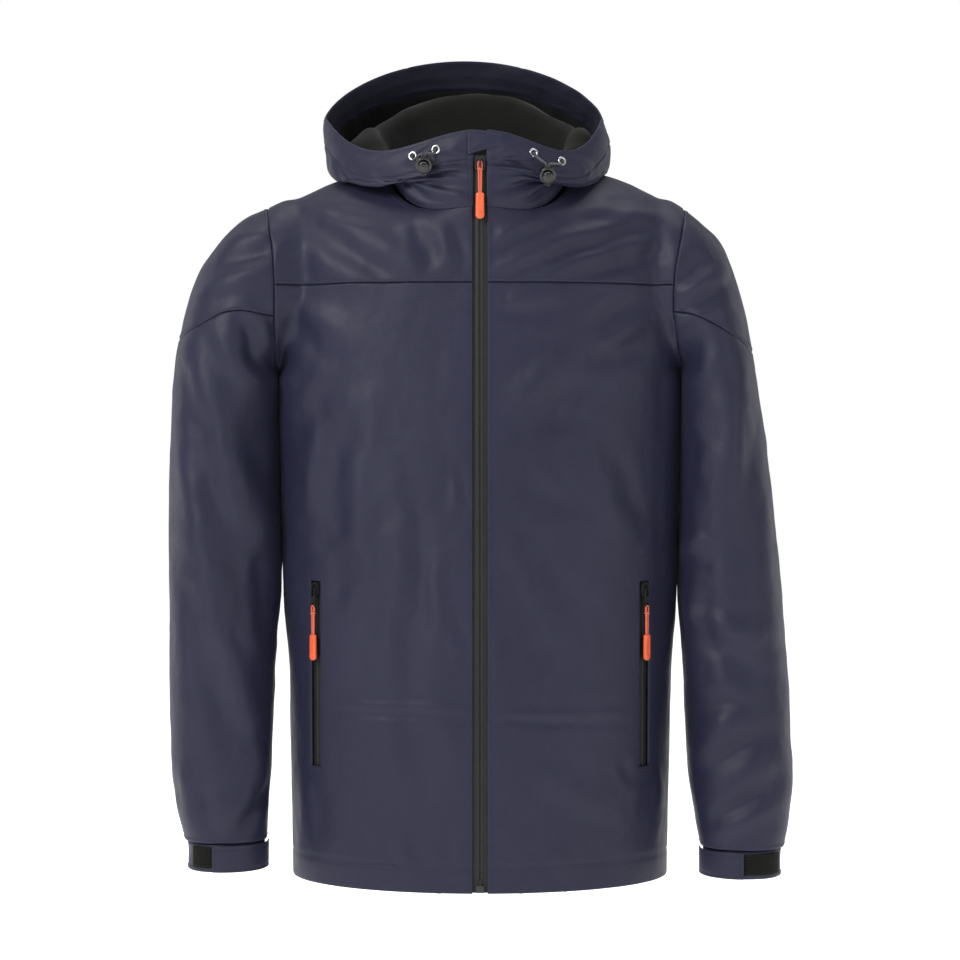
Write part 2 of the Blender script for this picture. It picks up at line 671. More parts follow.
def cut_skin(o):
    for s in SLEEVE.values():
        sg = s["sign"]
        slice_at(o, arm_field(s), (-EDGE, 0, EDGE, ROW),
                 lambda c: (np.abs(sg * c[:, 0] - arm_x(s, c[:, 2])) < 16) & (c[:, 2] > -300))
        slice_at(o, cap_field(s), (-EDGE, 0, EDGE, ROW),
                 lambda c: (np.abs(c[:, 2] - cap_z(s, c[:, 0])) < 14) & (sg * c[:, 0] > arm_x(s, c[:, 2]) - 3))
        end = s["rows"][-1][1]
        slice_at(o, plain(2), (end, end + EDGE, end + ROW),
                 lambda c: (np.abs(c[:, 2] - end) < 12) & (sg * c[:, 0] > 206))
    body = lambda c: (-c[:, 0] < arm_x(SLEEVE["right"], c[:, 2]) + 4) & (c[:, 0] < arm_x(SLEEVE["left"], c[:, 2]) + 4)
    slice_at(o, plain(2), (-YOKE - EDGE, -YOKE, -YOKE + EDGE, -YOKE + ROW),
             lambda c: (np.abs(c[:, 2] + YOKE) < 12) & body(c))
    slice_at(o, plain(2), (-BACK_LENGTH, -BACK_LENGTH + EDGE, -BACK_LENGTH + 26),
             lambda c: (c[:, 2] < -680) & body(c))
    slice_at(o, plain(1), (SIDE_Y - EDGE, SIDE_Y, SIDE_Y + EDGE),
             lambda c: (np.abs(c[:, 1] - SIDE_Y) < 10) & body(c))
    e = ZIP_EDGE
    slice_at(o, plain(0), (-e - ROW, -e - EDGE, -e, e, e + EDGE, e + ROW),
             lambda c: (np.abs(c[:, 0]) < 22) & (c[:, 1] < -100))
    slice_at(o, neck_field, (-ROW, -EDGE, 0),
             lambda c: (c[:, 2] > -80) & (np.abs(c[:, 0]) < 112) & (np.abs(c[:, 2] - neck_z(c)) < 22))
    for side in POCKETS:
        m = MOUTH
        slice_at(o, pocket_field(side, 0), (-m - ROW, -m - EDGE, -m, m, m + EDGE, m + ROW), near_pocket(side))
        z = -MOUTH_LENGTH
        slice_at(o, pocket_field(side, 2), (z - ROW, z - EDGE, z, 0, EDGE, 22), near_pocket(side))


def seam_drop(p):
    """How far below the skin the fabric lies along its seams, at points p."""
    x, y, z = p.T
    drop = np.zeros(len(p))
    groove = lambda d, w=1.1: np.exp(-((d / w) ** 2))
    on_body = np.ones(len(p))
    for s in SLEEVE.values():
        d = s["sign"] * x - arm_x(s, z)
        on_body *= smooth_step(0, -2, d)
        drop = np.maximum(drop, groove(d) * (z > -300))
        drop = np.maximum(drop, groove(z - cap_z(s, x)) * (d > 0))
    drop = np.maximum(drop, groove(z + YOKE) * on_body)
    drop = np.maximum(drop, groove(y - SIDE_Y) * on_body)
    drop = np.maximum(drop, 0.7 * groove(z + BACK_LENGTH - 26, 1.4) * on_body)
    return drop


def build_skin(voxel):
    o = make_skin(voxel)
    co = coords(o.data)
    near_arm = sum(np.exp(-(((s["sign"] * co[:, 0] - CHEST) / 34) ** 2)) for s in SLEEVE.values())
    near_arm *= smooth_step(-320, -250, co[:, 2])
    co = relax(o.data, co, 3)
    co = relax(o.data, co, 14, np.clip(near_arm, 0, 1) * smooth_step(-214, -190, co[:, 2]))
    put(o.data, co)
    cut_skin(o)
    return o


def split_panels(o):
    """Moves the skin into its folds, and makes one object of each panel with turned-in edges."""
    base = coords(o.data)
    n = normals(o.data)
    fold = fold_height(base, n) + soft_noise(base, n)
    quiet = smooth_step(2, 34, np.abs(base[:, 0])) * 0.8 + 0.2
    quiet = np.where(base[:, 1] < -100, quiet, 1)
    for side in POCKETS:
        q = pocket_local(side, base)
        near = (np.abs(q[:, 1]) < 26) * smooth_step(34, 12, np.abs(q[:, 0])) * smooth_step(40, 20, q[:, 2])
        quiet *= 1 - 0.85 * near * smooth_step(-215, -195, q[:, 2])
    ends = smooth_step(0, 40, base[:, 2] + BACK_LENGTH) * 0.75 + 0.25
    for s in SLEEVE.values():
        arm = s["sign"] * base[:, 0] > 206
        ends = np.where(arm, smooth_step(0, 30, base[:, 2] - s["rows"][-1][1]) * 0.8 + 0.2, ends)
    top = smooth_step(0, 30, neck_z(base) - base[:, 2]) * 0.8 + 0.2
    ends = np.where((base[:, 2] > -60) & (np.abs(base[:, 0]) < 130), ends * top, ends)
    high = fold * quiet * ends - 0.9 * seam_drop(base)
    co = base + n * high[:, None]
    for s in SLEEVE.values():
        d = s["sign"] * co[:, 0] - arm_x(s, co[:, 2])
        near = smooth_step(26, 5, np.abs(d)) * smooth_step(-520, -400, base[:, 2])
        near *= smooth_step(-194, -212, base[:, 2])
        co[:, 0] -= s["sign"] * np.sign(d) * np.minimum(6.4 * near, np.maximum(np.abs(d) - 0.3, 0))
    put(o.data, co)
    n2 = normals(o.data)
    count = len(o.data.polygons)
    start = np.zeros(count, int)
    total = np.zeros(count, int)
    o.data.polygons.foreach_get("loop_start", start)
    o.data.polygons.foreach_get("loop_total", total)
    loops = np.zeros(len(o.data.loops), int)
    o.data.loops.foreach_get("vertex_index", loops)
    owner = np.repeat(np.arange(count), total)
    centre = np.zeros((count, 3))
    np.add.at(centre, owner, base[loops])
    centre /= total[:, None]
    kind = panel_of(centre)
    kind[in_mouth(centre)] = -1
    for s in SLEEVE.values():
        off = np.abs(s["sign"] * centre[:, 0] - arm_x(s, centre[:, 2]))
        kind[(off < 1.6) & (centre[:, 2] < -446)] = -1
    made = {}
    uv = panel_uv(base)
    every = [loops[start[f]: start[f] + total[f]] for f in range(count)]
    for k, name in enumerate(PANELS):
        faces = [every[f] for f in np.where(kind == k)[0]]
        made[name] = turned_panel(name, faces, co, n2, uv)
    inner = relax(o.data, co, 6)
    put(o.data, inner)
    inner_n = normals(o.data)
    put(o.data, co)
    return base, co, n2, made, every, panel_of(centre), centre, uv, inner, inner_n


def panel_uv(p):
    """Flat coordinates in metres for the weave: round the body or sleeve, and up it."""
    uv = np.zeros((len(p), 2))
    a = np.arctan2(p[:, 0], -(p[:, 1] - SIDE_Y))
    uv[:, 0] = a * 0.17
    uv[:, 1] = p[:, 2] * MM
    for s in SLEEVE.values():
        arm = s["sign"] * p[:, 0] > arm_x(s, p[:, 2])
        t = smooth_step(-700, -150, p[:, 2])
        axis_y = SIDE_Y - 42 * (1 - t)
        axis_x = s["sign"] * (CHEST + 58)
        b = np.arctan2(p[:, 0] - axis_x, -(p[:, 1] - axis_y))
        uv[arm, 0] = b[arm] * 0.066
    return uv


def turned_panel(name, faces, co, n, uv):
    used = np.unique(np.concatenate(faces))
    index = np.full(len(co), -1)
    index[used] = np.arange(len(used))
    faces = [tuple(index[f]) for f in faces]
    verts, nn, uvs = co[used].copy(), n[used], uv[used]
    count = {}
    for f in faces:
        for a, b in zip(f, f[1:] + f[:1]):
            key = (a, b) if a < b else (b, a)
            count[key] = None if key in count else (a, b)
    border = [e for e in count.values() if e]
    rim = np.unique(np.array(border).ravel())
    inward = np.zeros_like(verts)
    for a, b in border:
        along = verts[b] - verts[a]
        side = np.cross(nn[a], along)
        side /= max(np.linalg.norm(side), 1e-9)
        inward[a] += side
        inward[b] += side
    size = np.maximum(np.linalg.norm(inward[rim], axis=1, keepdims=True), 1e-9)
    inward[rim] /= size
    verts[rim] += inward[rim] * 0.22 - nn[rim] * 0.25
    low = verts[rim] - nn[rim] * 1.5
    under = low + inward[rim] * 7 - nn[rim] * 0.1
    first = len(verts)
    ring_of = {int(v): k for k, v in enumerate(rim)}
    verts = np.concatenate([verts, low, under])
    uvs = np.concatenate([uvs, uvs[rim], uvs[rim]])
    m = len(rim)
    for a, b in border:
        i, j = ring_of[int(a)], ring_of[int(b)]
        faces.append((b, a, first + i, first + j))
        faces.append((first + j, first + i, first + m + i, first + m + j))
    o = mesh_object(name + "_cloth", verts, faces, uvs)
    shade(o)
    return o


# ------------------------------------------------------------------ materials
class Nodes:
    """A short way to write a node tree."""

    def __init__(self, name):
        self.mat = bpy.data.materials.new(name)
        self.mat.use_nodes = True
        self.tree = self.mat.node_tree
        self.shader = self.tree.nodes["Principled BSDF"]

    def add(self, kind, inputs=(), **values):
        node = self.tree.nodes.new(kind)
        for key, value in values.items():
            setattr(node, key, value)
        for key, value in dict(inputs).items():
            if isinstance(value, bpy.types.NodeSocket):
                self.tree.links.new(value, node.inputs[key])
            else:
                node.inputs[key].default_value = value
        return node

    def set(self, **values):
        for key, value in values.items():
            socket = self.shader.inputs[key.replace("_", " ")]
            if isinstance(value, bpy.types.NodeSocket):
                self.tree.links.new(value, socket)
            else:
                socket.default_value = value

    def math(self, op, a, b=0.0):
        node = self.add("ShaderNodeMath", operation=op)
        for i, v in enumerate((a, b)):
            if isinstance(v, bpy.types.NodeSocket):
                self.tree.links.new(v, node.inputs[i])
            else:
                node.inputs[i].default_value = v
        return node.outputs[0]

    def noise(self, coord, scale, detail=3.0, rough=0.5):
        node = self.add("ShaderNodeTexNoise", {"Vector": coord, "Scale": scale, "Detail": detail, "Roughness": rough})
        return node.outputs["Fac"]

    def wave(self, coord, scale, direction, distortion=0.0):
        node = self.add("ShaderNodeTexWave", {"Vector": coord, "Scale": scale, "Distortion": distortion, "Detail": 1.0},
                        bands_direction=direction)
        return node.outputs["Fac"]

    def ramp(self, fac, stops):
        node = self.add("ShaderNodeValToRGB", {"Fac": fac})
        ramp = node.color_ramp
        while len(ramp.elements) < len(stops):
            ramp.elements.new(0.5)
        for e, (at, colour) in zip(ramp.elements, stops):
            e.position = at
            e.color = (*colour, 1)
        return node.outputs["Color"]

    def mix(self, fac, a, b, mode="MIX"):
        node = self.add("ShaderNodeMix", data_type="RGBA", blend_type=mode)
        for key, v in ((0, fac), (6, a), (7, b)):
            if isinstance(v, bpy.types.NodeSocket):
                self.tree.links.new(v, node.inputs[key])
            else:
                node.inputs[key].default_value = v
        return node.outputs[2]

    def bump(self, height, strength, distance, normal=None):
        inputs = {"Height": height, "Strength": strength, "Distance": distance}
        if normal is not None:
            inputs["Normal"] = normal
        return self.add("ShaderNodeBump", inputs).outputs["Normal"]


def fabric(name, dark, light, rough=0.55, sheen=0.12, pitch=0.9, weave=0.35, crinkle=1.0, spec=0.4, scale=6.2832):
    """Woven cloth: two thread directions from the UV map, slow shade changes, fine creases."""
    m = Nodes(name)
    uv = m.add("ShaderNodeTexCoord").outputs["UV"]
    spot = m.add("ShaderNodeTexCoord").outputs["Object"]
    k = 1000.0 / pitch / scale
    warp = m.wave(uv, k, "X", 0.6)
    weft = m.wave(uv, k, "Y", 0.6)
    threads = m.math("ADD", m.math("MULTIPLY", warp, 0.5), m.math("MULTIPLY", weft, 0.5))
    slub = m.noise(spot, 900, 2)
    slow = m.noise(spot, 7, 3)
    tone = m.math("ADD", m.math("MULTIPLY", slow, 0.55), m.math("MULTIPLY", m.noise(spot, 160, 3), 0.25))
    tone = m.math("ADD", tone, m.math("MULTIPLY", threads, weave * 0.55))
    colour = m.ramp(tone, [(0.2, dark), (0.85, light)])
    rough_map = m.math("ADD", m.math("MULTIPLY", m.noise(spot, 60, 3), 0.16), rough - 0.08)
    m.set(Base_Color=colour, Roughness=rough_map, Specular_IOR_Level=spec, Sheen_Weight=sheen,
          Sheen_Roughness=0.4)
    n1 = m.bump(m.noise(spot, 38, 4, 0.55), 0.5 * crinkle, 0.0011)
    n2 = m.bump(m.noise(spot, 190, 3, 0.6), 0.55 * crinkle, 0.00022, n1)
    n3 = m.bump(m.math("ADD", threads, m.math("MULTIPLY", slub, 0.6)), weave, 0.00009, n2)
    m.set(Normal=n3)
    return m.mat


def moulded(name, colour, rough=0.4, metal=0.0, coat=0.0, grain=0.25, worn=None, spec=0.5):
    """Moulded plastic, rubber or enamelled metal: fine grain, smudges, paler rubbed edges."""
    m = Nodes(name)
    spot = m.add("ShaderNodeTexCoord").outputs["Object"]
    low = tuple(c * 0.82 for c in colour)
    high = tuple(min(1, c * 1.14) for c in colour)
    tone = m.math("ADD", m.math("MULTIPLY", m.noise(spot, 90, 4), 0.7), m.math("MULTIPLY", m.noise(spot, 700, 2), 0.3))
    base = m.ramp(tone, [(0.3, low), (0.7, high)])
    edge = m.add("ShaderNodeNewGeometry").outputs["Pointiness"]
    rub = m.ramp(edge, [(0.52, (0, 0, 0)), (0.6, (1, 1, 1))])
    rub = m.math("MULTIPLY", rub, m.math("MULTIPLY", m.noise(spot, 300, 3), 0.7))
    pale = worn or tuple(min(1, c * 1.5 + 0.03) for c in colour)
    base = m.mix(rub, base, (*pale, 1))
    m.set(Base_Color=base, Roughness=m.math("ADD", m.math("MULTIPLY", m.noise(spot, 240, 3), 0.2), rough - 0.1),
          Metallic=metal, Coat_Weight=coat, Specular_IOR_Level=spec)
    m.set(Normal=m.bump(m.noise(spot, 1500, 2), grain, 0.00006))
    return m.mat


def braid(name, colour, dark, pitch=1.6, rough=0.7):
    """Braided cord: crossing strands from the UV map, u along the cord and v round it."""
    m = Nodes(name)
    uv = m.add("ShaderNodeTexCoord").outputs["UV"]
    spot = m.add("ShaderNodeTexCoord").outputs["Object"]
    split = m.add("ShaderNodeSeparateXYZ", {"Vector": uv})
    u = m.math("MULTIPLY", split.outputs[0], 6283.0 / pitch)
    v = m.math("MULTIPLY", split.outputs[1], 6.2832 * 3)
    a = m.math("SINE", m.math("ADD", u, v))
    b = m.math("SINE", m.math("SUBTRACT", u, v))
    weave = m.math("MULTIPLY", m.math("ADD", m.math("MAXIMUM", a, b), 0.5), 0.6)
    fuzz = m.noise(spot, 1200, 3)
    base = m.ramp(m.math("ADD", m.math("MULTIPLY", weave, 0.7), m.math("MULTIPLY", fuzz, 0.3)), [(0.1, dark), (0.7, colour)])
    m.set(Base_Color=base, Roughness=rough, Sheen_Weight=0.3)
    m.set(Normal=m.bump(weave, 0.7, 0.00018, m.bump(fuzz, 0.3, 0.0001)))
    return m.mat


NAVY = fabric("navy_cloth", (0.0085, 0.0088, 0.023), (0.0175, 0.018, 0.04), rough=0.52, sheen=0.03, spec=0.24)
INSIDE = fabric("navy_inside", (0.006, 0.006, 0.014), (0.012, 0.012, 0.024), rough=0.7, sheen=0.02, spec=0.2)
LINING = fabric("lining_mesh", (0.003, 0.003, 0.003), (0.0095, 0.0095, 0.0088), rough=0.9, sheen=0.06, pitch=1.3, weave=0.8, spec=0.12)
TAPE = fabric("zip_tape_cloth", (0.004, 0.004, 0.0037), (0.012, 0.012, 0.0108), rough=0.55, sheen=0.0, pitch=1.1, weave=0.7, crinkle=0.15, spec=0.3)
PILE = fabric("loop_pile", (0.002, 0.002, 0.002), (0.010, 0.010, 0.0088), rough=0.95, sheen=0.12, pitch=1.5, weave=1.0, spec=0.08)
THREAD = fabric("thread", (0.007, 0.007, 0.018), (0.024, 0.024, 0.045), rough=0.6, sheen=0.02, pitch=0.7, weave=0.6, crinkle=0.2, spec=0.3)
BLACK = moulded("black_plastic", (0.003, 0.003, 0.004), rough=0.2, coat=0.25, worn=(0.02, 0.02, 0.02), spec=0.4, grain=0.1)
ENAMEL = moulded("black_enamel", (0.005, 0.005, 0.0055), rough=0.3, metal=0.2, coat=0.15, worn=(0.05, 0.05, 0.05), spec=0.4)
COIL = moulded("coil_nylon", (0.012, 0.012, 0.012), rough=0.45)
ORANGE = moulded("orange_rubber", (0.64, 0.093, 0.028), rough=0.42, worn=(0.75, 0.2, 0.1), grain=0.4)
ORANGE_CORD = braid("orange_cord", (0.66, 0.1, 0.033), (0.27, 0.03, 0.01), pitch=1.3)
STEEL = moulded("polished_steel", (0.42, 0.42, 0.44), rough=0.22, metal=1.0, worn=(0.6, 0.6, 0.61), grain=0.1)
CORD = braid("black_cord", (0.012, 0.012, 0.014), (0.002, 0.002, 0.002), pitch=1.2)


def dress(o, material, body="garment", nodes=()):
    o.data.materials.clear()
    o.data.materials.append(material)
    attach(o, body)
    if nodes:
        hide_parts(*nodes)
    return o


# ------------------------------------------------------------------ make the body
VOXEL = 3.4
skin = build_skin(VOXEL)
BASE, MOVED, SKIN_N, PANEL_OBJECTS, SKIN_FACES, SKIN_KIND, SKIN_MID, SKIN_UV, INNER, INNER_N = split_panels(skin)
for name, o in PANEL_OBJECTS.items():
    dress(o, NAVY, "garment", [name])
bpy.data.objects.remove(skin)

# ------------------------------------------------------------------ stitches and sheets of cloth
def frame_along(points, outward):
    """Unit vectors along a line of points, out of the cloth and across the line."""
    way = np.gradient(points, axis=0)
    way /= np.maximum(np.linalg.norm(way, axis=1, keepdims=True), 1e-9)
    out = outward - (outward * way).sum(1, keepdims=True) * way
    out /= np.maximum(np.linalg.norm(out, axis=1, keepdims=True), 1e-9)
    return way, out, np.cross(way, out)


STITCHES = {"shell": [], "lining": []}


def stitch_row(points, outward, group="shell", pitch=3.1, gap=0.8, wide=0.34, lift=0.05):
    """Adds a row of sewn dashes that lies along a line on the cloth."""
    points = np.asarray(points, float)
    if len(points) < 3:
        return
    run = np.concatenate([[0], np.cumsum(np.linalg.norm(np.diff(points, axis=0), axis=1))])
    if run[-1] < pitch * 2:
        return
    _, out, side = frame_along(points, np.asarray(outward, float))
    count = int(run[-1] / pitch)
    steps = np.array([0, 0.14, 0.5, 0.86, 1.0])
    swell = np.array([0.35, 0.9, 1, 0.9, 0.35])
    high = np.array([-0.35, 0.05, 0.2, 0.05, -0.35])
    s = (np.arange(count)[:, None] * pitch + gap / 2 + steps[None] * (pitch - gap)).ravel()
    at = lambda a: np.stack([np.interp(s, run, a[:, k]) for k in range(3)], 1)
    p, o, c = at(points), at(out), at(side)
    r = (np.tile(swell, count) * wide)[:, None]
    p = p + o * (lift + np.tile(high, count))[:, None]
    corner = [c * r, c * r * 0.5 + o * r * 0.85, -c * r * 0.5 + o * r * 0.85, -c * r]
    STITCHES[group].append((np.stack([p + k for k in corner], 1).reshape(-1, 3), count))


def make_stitches(name, group, material):
    verts, faces, base = [], [], 0
    one = []
    for k in range(4):
        for j in range(3):
            a = k * 4 + j
            one.append((a, a + 1, a + 5, a + 4))
    one = np.array(one + [(3, 2, 1, 0), (16, 17, 18, 19)])
    for v, count in STITCHES[group]:
        verts.append(v)
        start = base + np.arange(count)[:, None, None] * 20
        faces.append((one[None] + start).reshape(-1, 4))
        base += len(v)
    verts, faces = np.concatenate(verts), np.concatenate(faces)
    o = mesh_object(name, verts, faces, verts[:, [0, 2]] * MM)
    shade(o)
    return dress(o, material)


def grid_normals(p, wrap=False):
    if wrap:
        du = np.roll(p, -1, 0) - np.roll(p, 1, 0)
    else:
        du = np.gradient(p, axis=0)
    n = np.cross(du, np.gradient(p, axis=1))
    return n / np.maximum(np.linalg.norm(n, axis=2, keepdims=True), 1e-9)


def grid_walk(p, axis):
    step = np.linalg.norm(np.diff(p, axis=axis), axis=2)
    out = np.zeros(p.shape[:2])
    if axis == 0:
        out[1:] = np.cumsum(step, 0)
    else:
        out[:, 1:] = np.cumsum(step, 1)
    return out


def thick_sheet(name, outer, thick, facing, wrap=False, closed_edge=(1, 1, 1, 1), uv=None):
    """A grid of points as cloth with rounded edges. facing is 1 or -1: which way its outer face looks
    from du x dv. Edge flags are for first u, last u, first v, last v."""
    nu, nv = outer.shape[:2]
    n = grid_normals(outer, wrap) * facing
    if uv is None:
        uv = np.stack([grid_walk(outer, 0), grid_walk(outer, 1)], -1) * MM
    r = thick / 2
    inner = outer - n * thick
    top, low = outer.copy(), inner.copy()
    verts = [top.reshape(-1, 3), low.reshape(-1, 3)]
    uvs = [uv.reshape(-1, 2), uv.reshape(-1, 2)]
    g = grid_faces(nu, nv, wrap)
    if facing < 0:
        g = g[:, ::-1]
    faces = [tuple(f) for f in g] + [tuple(f) for f in (g[:, ::-1] + nu * nv)]
    base = 2 * nu * nv
    idx = np.arange(nu * nv).reshape(nu, nv)
    edges = [(idx[:, 0], (outer[:, 0] - outer[:, 1]), closed_edge[2]), (idx[:, -1], outer[:, -1] - outer[:, -2], closed_edge[3])]
    if not wrap:
        edges += [(idx[0], outer[0] - outer[1], closed_edge[0]), (idx[-1], outer[-1] - outer[-2], closed_edge[1])]
    for k, (line, away, on) in enumerate(edges):
        away = away / np.maximum(np.linalg.norm(away, axis=1, keepdims=True), 1e-9)
        nn = n.reshape(-1, 3)[line]
        p = outer.reshape(-1, 3)[line]
        bands = [line]
        for turn in (45, 90, 135):
            a = rad(turn)
            spot = p - nn * r + (nn * math.cos(a) + away * math.sin(a)) * r
            verts.append(spot)
            uvs.append(uv.reshape(-1, 2)[line])
            bands.append(base + np.arange(len(line)))
            base += len(line)
        bands.append(line + nu * nv)
        m = len(line)
        last = m if (wrap and k < 2) else m - 1
        flip = (k in (0, 3)) != (facing < 0)
        for b0, b1 in zip(bands, bands[1:]):
            for i in range(last):
                j = (i + 1) % m
                f = (b0[i], b0[j], b1[j], b1[i])
                faces.append(f if not flip else f[::-1])
    o = mesh_object(name, np.concatenate(verts), faces, np.concatenate(uvs))
    shade(o)
    return o


# ------------------------------------------------------------------ hood
CENTRE_TURN = rad(26)
N_SIDE, N_MID, N_ROWS = ((120, 30, 150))


def hood_angles(edge, t):
    """Turns round the hood at a height, from the right front edge to the left."""
    half = smooth_rows(HOOD, t)[..., 3]
    start = np.arcsin(np.clip(edge / half, -1, 1))
    back = math.pi - CENTRE_TURN
    side = start[None] + (back - start[None]) * np.linspace(0, 1, N_SIDE + 1)[:, None]
    mid = np.linspace(back, math.pi, N_MID // 2 + 1)[1:, None] + 0 * start[None]
    half_turn = np.concatenate([side, mid])
    return np.concatenate([-half_turn, half_turn[-2::-1]])


def hood_base(edge, t0, t1, rows):
    t = np.linspace(t0, t1, rows)
    a = hood_angles(edge, t)
    return hood_point(a, np.broadcast_to(t, a.shape))


HP = hood_base(ZIP_EDGE, 0.004, 1, N_ROWS)
HN = grid_normals(HP)
HN *= np.sign((HN[:, -1] * (HP[:, -1] - np.array([0, SIDE_Y, 0]))).sum(-1).mean())
H_ALONG = grid_walk(HP, 0)
H_ALONG -= H_ALONG[[len(H_ALONG) // 2]]
H_UP = grid_walk(HP, 1)
H_DROP = H_UP[:, -1:] - H_UP


def hood_fold(p, along, up, drop):
    """Height of the hood's creases: gathers under the drawcord, and slack cloth below."""
    q = np.stack([along, up, np.zeros_like(along)], -1)
    front = smooth_step(20, -60, p[..., 1] + 40)
    out = 1.5 * noise(q, (46, 34, 9), 3) + 0.8 * noise(q, (21, 19, 9), 5)
    out += 2.4 * noise(q, (90, 60, 9), 9) * smooth_step(4, 40, drop)
    gather = noise(np.stack([along + 0.35 * up, up * 0.28, 0 * up], -1), (11, 16, 9), 7)
    gather += 0.6 * noise(np.stack([along - 0.2 * up, up * 0.3, 0 * up], -1), (6.5, 14, 9), 8)
    near = np.exp(-(((drop - 27) / 15) ** 2))
    lock = np.exp(-(((np.abs(p[..., 0]) - 62) / 48) ** 2)) * front
    out += gather * near * (0.5 + 2.3 * lock)
    slant = noise(np.stack([along * 0.8 + up * 0.9, up * 0.5 - along * 0.3, 0 * up], -1), (24, 40, 9), 12)
    out += 3.6 * slant * smooth_step(24, 40, drop) * smooth_step(0, 14, up) * front
    pull = np.sin((along * np.sign(p[..., 0]) * 0.55 + up) / 5.2 + 1.3 * noise(q, (30, 30, 9), 15))
    out += 1.5 * pull * lock * smooth_step(26, 36, drop) * smooth_step(0, 10, up)
    out -= 1.0 * np.exp(-(((drop - 28) / 1.3) ** 2))
    out += 0.7 * np.exp(-(((drop - 13) / 9) ** 2))
    edge = smooth_step(0, 7, drop) * smooth_step(0, 6, up)
    centre = smooth_step(5, 26, np.abs(p[..., 0])) * (p[..., 1] < SIDE_Y) + (p[..., 1] >= SIDE_Y)
    return out * (0.25 + 0.75 * edge) * (0.3 + 0.7 * centre)


H_FOLD = hood_fold(HP, H_ALONG, H_UP, H_DROP)
H_SKIN = HP + HN * (H_FOLD - 0.3)[..., None]


def hood_panel(name, first, last):
    cols = slice(first, last + 1)
    p = H_SKIN[cols].copy()
    n = HN[cols]
    along = H_ALONG[cols]
    for col in (0, -1):
        if abs(p[col, :, 0]).max() < 12 and (HP[cols][col, :, 1] < SIDE_Y).all():
            continue
        edge = np.abs(along - along[[col]])
        drop = 1.0 * np.exp(-((edge / 1.3) ** 2))
        p -= n * drop[..., None]
    facing = 1 if (grid_normals(p) * n).sum(-1).mean() > 0 else -1
    uv = np.stack([along, H_UP[cols]], -1) * MM
    o = thick_sheet(name + "_cloth", p, 1.5, facing, uv=uv)
    return o


LAST = HP.shape[0] - 1
SEAM_A, SEAM_B = N_SIDE, LAST - N_SIDE
for name, first, last in (("hood_side_right", 0, SEAM_A), ("hood_center_panel", SEAM_A, SEAM_B),
                          ("hood_side_left", SEAM_B, LAST)):
    dress(hood_panel(name, first, last), NAVY, "garment", [name])


def hood_row(drop, cols, offset=0.0):
    """Points and outward directions along the hood, a length below its edge."""
    pts, outs = [], []
    for c in cols:
        d = H_DROP[c][::-1]
        pick = lambda a: np.array([np.interp(drop, d, a[c][::-1, k]) for k in range(3)])
        n = pick(HN)
        pts.append(pick(H_SKIN) + n * offset)
        outs.append(n / np.linalg.norm(n))
    return np.array(pts), np.array(outs)


for first, last in ((1, SEAM_A - 1), (SEAM_A + 1, SEAM_B - 1), (SEAM_B + 1, LAST - 1)):
    for drop in (28.0, 2.6):
        stitch_row(*hood_row(drop, range(first, last + 1)))
for c, step in ((SEAM_A, -2), (SEAM_B, 2)):
    rows = slice(int(N_ROWS * 0.06), int(N_ROWS * 0.97))
    stitch_row(H_SKIN[c + step, rows], HN[c + step, rows])
for c in (2, LAST - 2):
    stitch_row(H_SKIN[c, 3:-3], HN[c, 3:-3])


WAY = np.gradient(HP, axis=1) / np.maximum(np.gradient(H_UP, axis=1), 0.05)[..., None]
BENT = np.maximum((np.gradient(HN, axis=1) * WAY).sum(-1) / np.maximum(np.gradient(H_UP, axis=1), 0.05), 0)


def grid_tree(points):
    """A tree of a grid's faces, to find the nearest place on it."""
    rows, cols = points.shape[:2]
    i = (np.arange(rows - 1)[:, None] * cols + np.arange(cols - 1)).ravel()
    faces = np.stack([i, i + 1, i + cols + 1, i + cols], 1)
    return BVHTree.FromPolygons(points.reshape(-1, 3).tolist(), faces.tolist())


HOOD_TREE = grid_tree(H_SKIN)
TREE_OUT = -1 if (grid_normals(H_SKIN) * HN).sum(-1).mean() > 0 else 1  # way its faces look
INSIDE_HOOD = 2.1  # least depth of an inside layer below the shell's face


def keep_inside(points):
    """Moves points that have come through the hood's shell back under it."""
    flat = points.reshape(-1, 3).copy()
    for _ in range(3):
        for k, q in enumerate(flat):
            place, normal, _, _ = HOOD_TREE.find_nearest(q)
            out = np.array(normal) * TREE_OUT
            if (q - np.array(place)) @ out > 0.15 - INSIDE_HOOD:
                flat[k] = np.array(place) - out * INSIDE_HOOD
    return flat.reshape(points.shape)


def hood_layer(name, cols, at, depth, thick):
    """An inside layer of the hood: at gives, for each column, the distances up the cloth it is made at."""
    p, n = [], []
    for c in cols:
        up = at(H_UP[c, -1])
        pick = lambda a: np.stack([np.interp(up, H_UP[c], a[c, :, k]) for k in range(3)], 1)
        q, m = pick(H_SKIN), pick(HN)
        m /= np.linalg.norm(m, axis=1, keepdims=True)
        bent = np.interp(up, H_UP[c], BENT[c])
        room = np.minimum(depth(np.linspace(0, 1, len(up))), np.maximum(0.3 / np.maximum(bent, 1e-3), 2.1))
        far = np.abs(up[:, None] - up[None])
        room = (room[None] + 0.22 * far).min(1)
        q = q - m * room[:, None]
        nearby = np.array([bent[max(k - 7, 0):k + 8].max() for k in range(len(up))])
        tight = smooth_step(0.02, 0.07, nearby)[1:-1, None]
        for _ in range(90):  # the layer cuts the corner inside a tight fold
            q[1:-1] += tight * 0.25 * (q[:-2] + q[2:] - 2 * q[1:-1])
        p.append(q)
        n.append(m)
    p, n = np.array(p), np.array(n)
    facing = -1 if (grid_normals(p) * n).sum(-1).mean() > 0 else 1
    return thick_sheet(name, keep_inside(p), thick, facing)


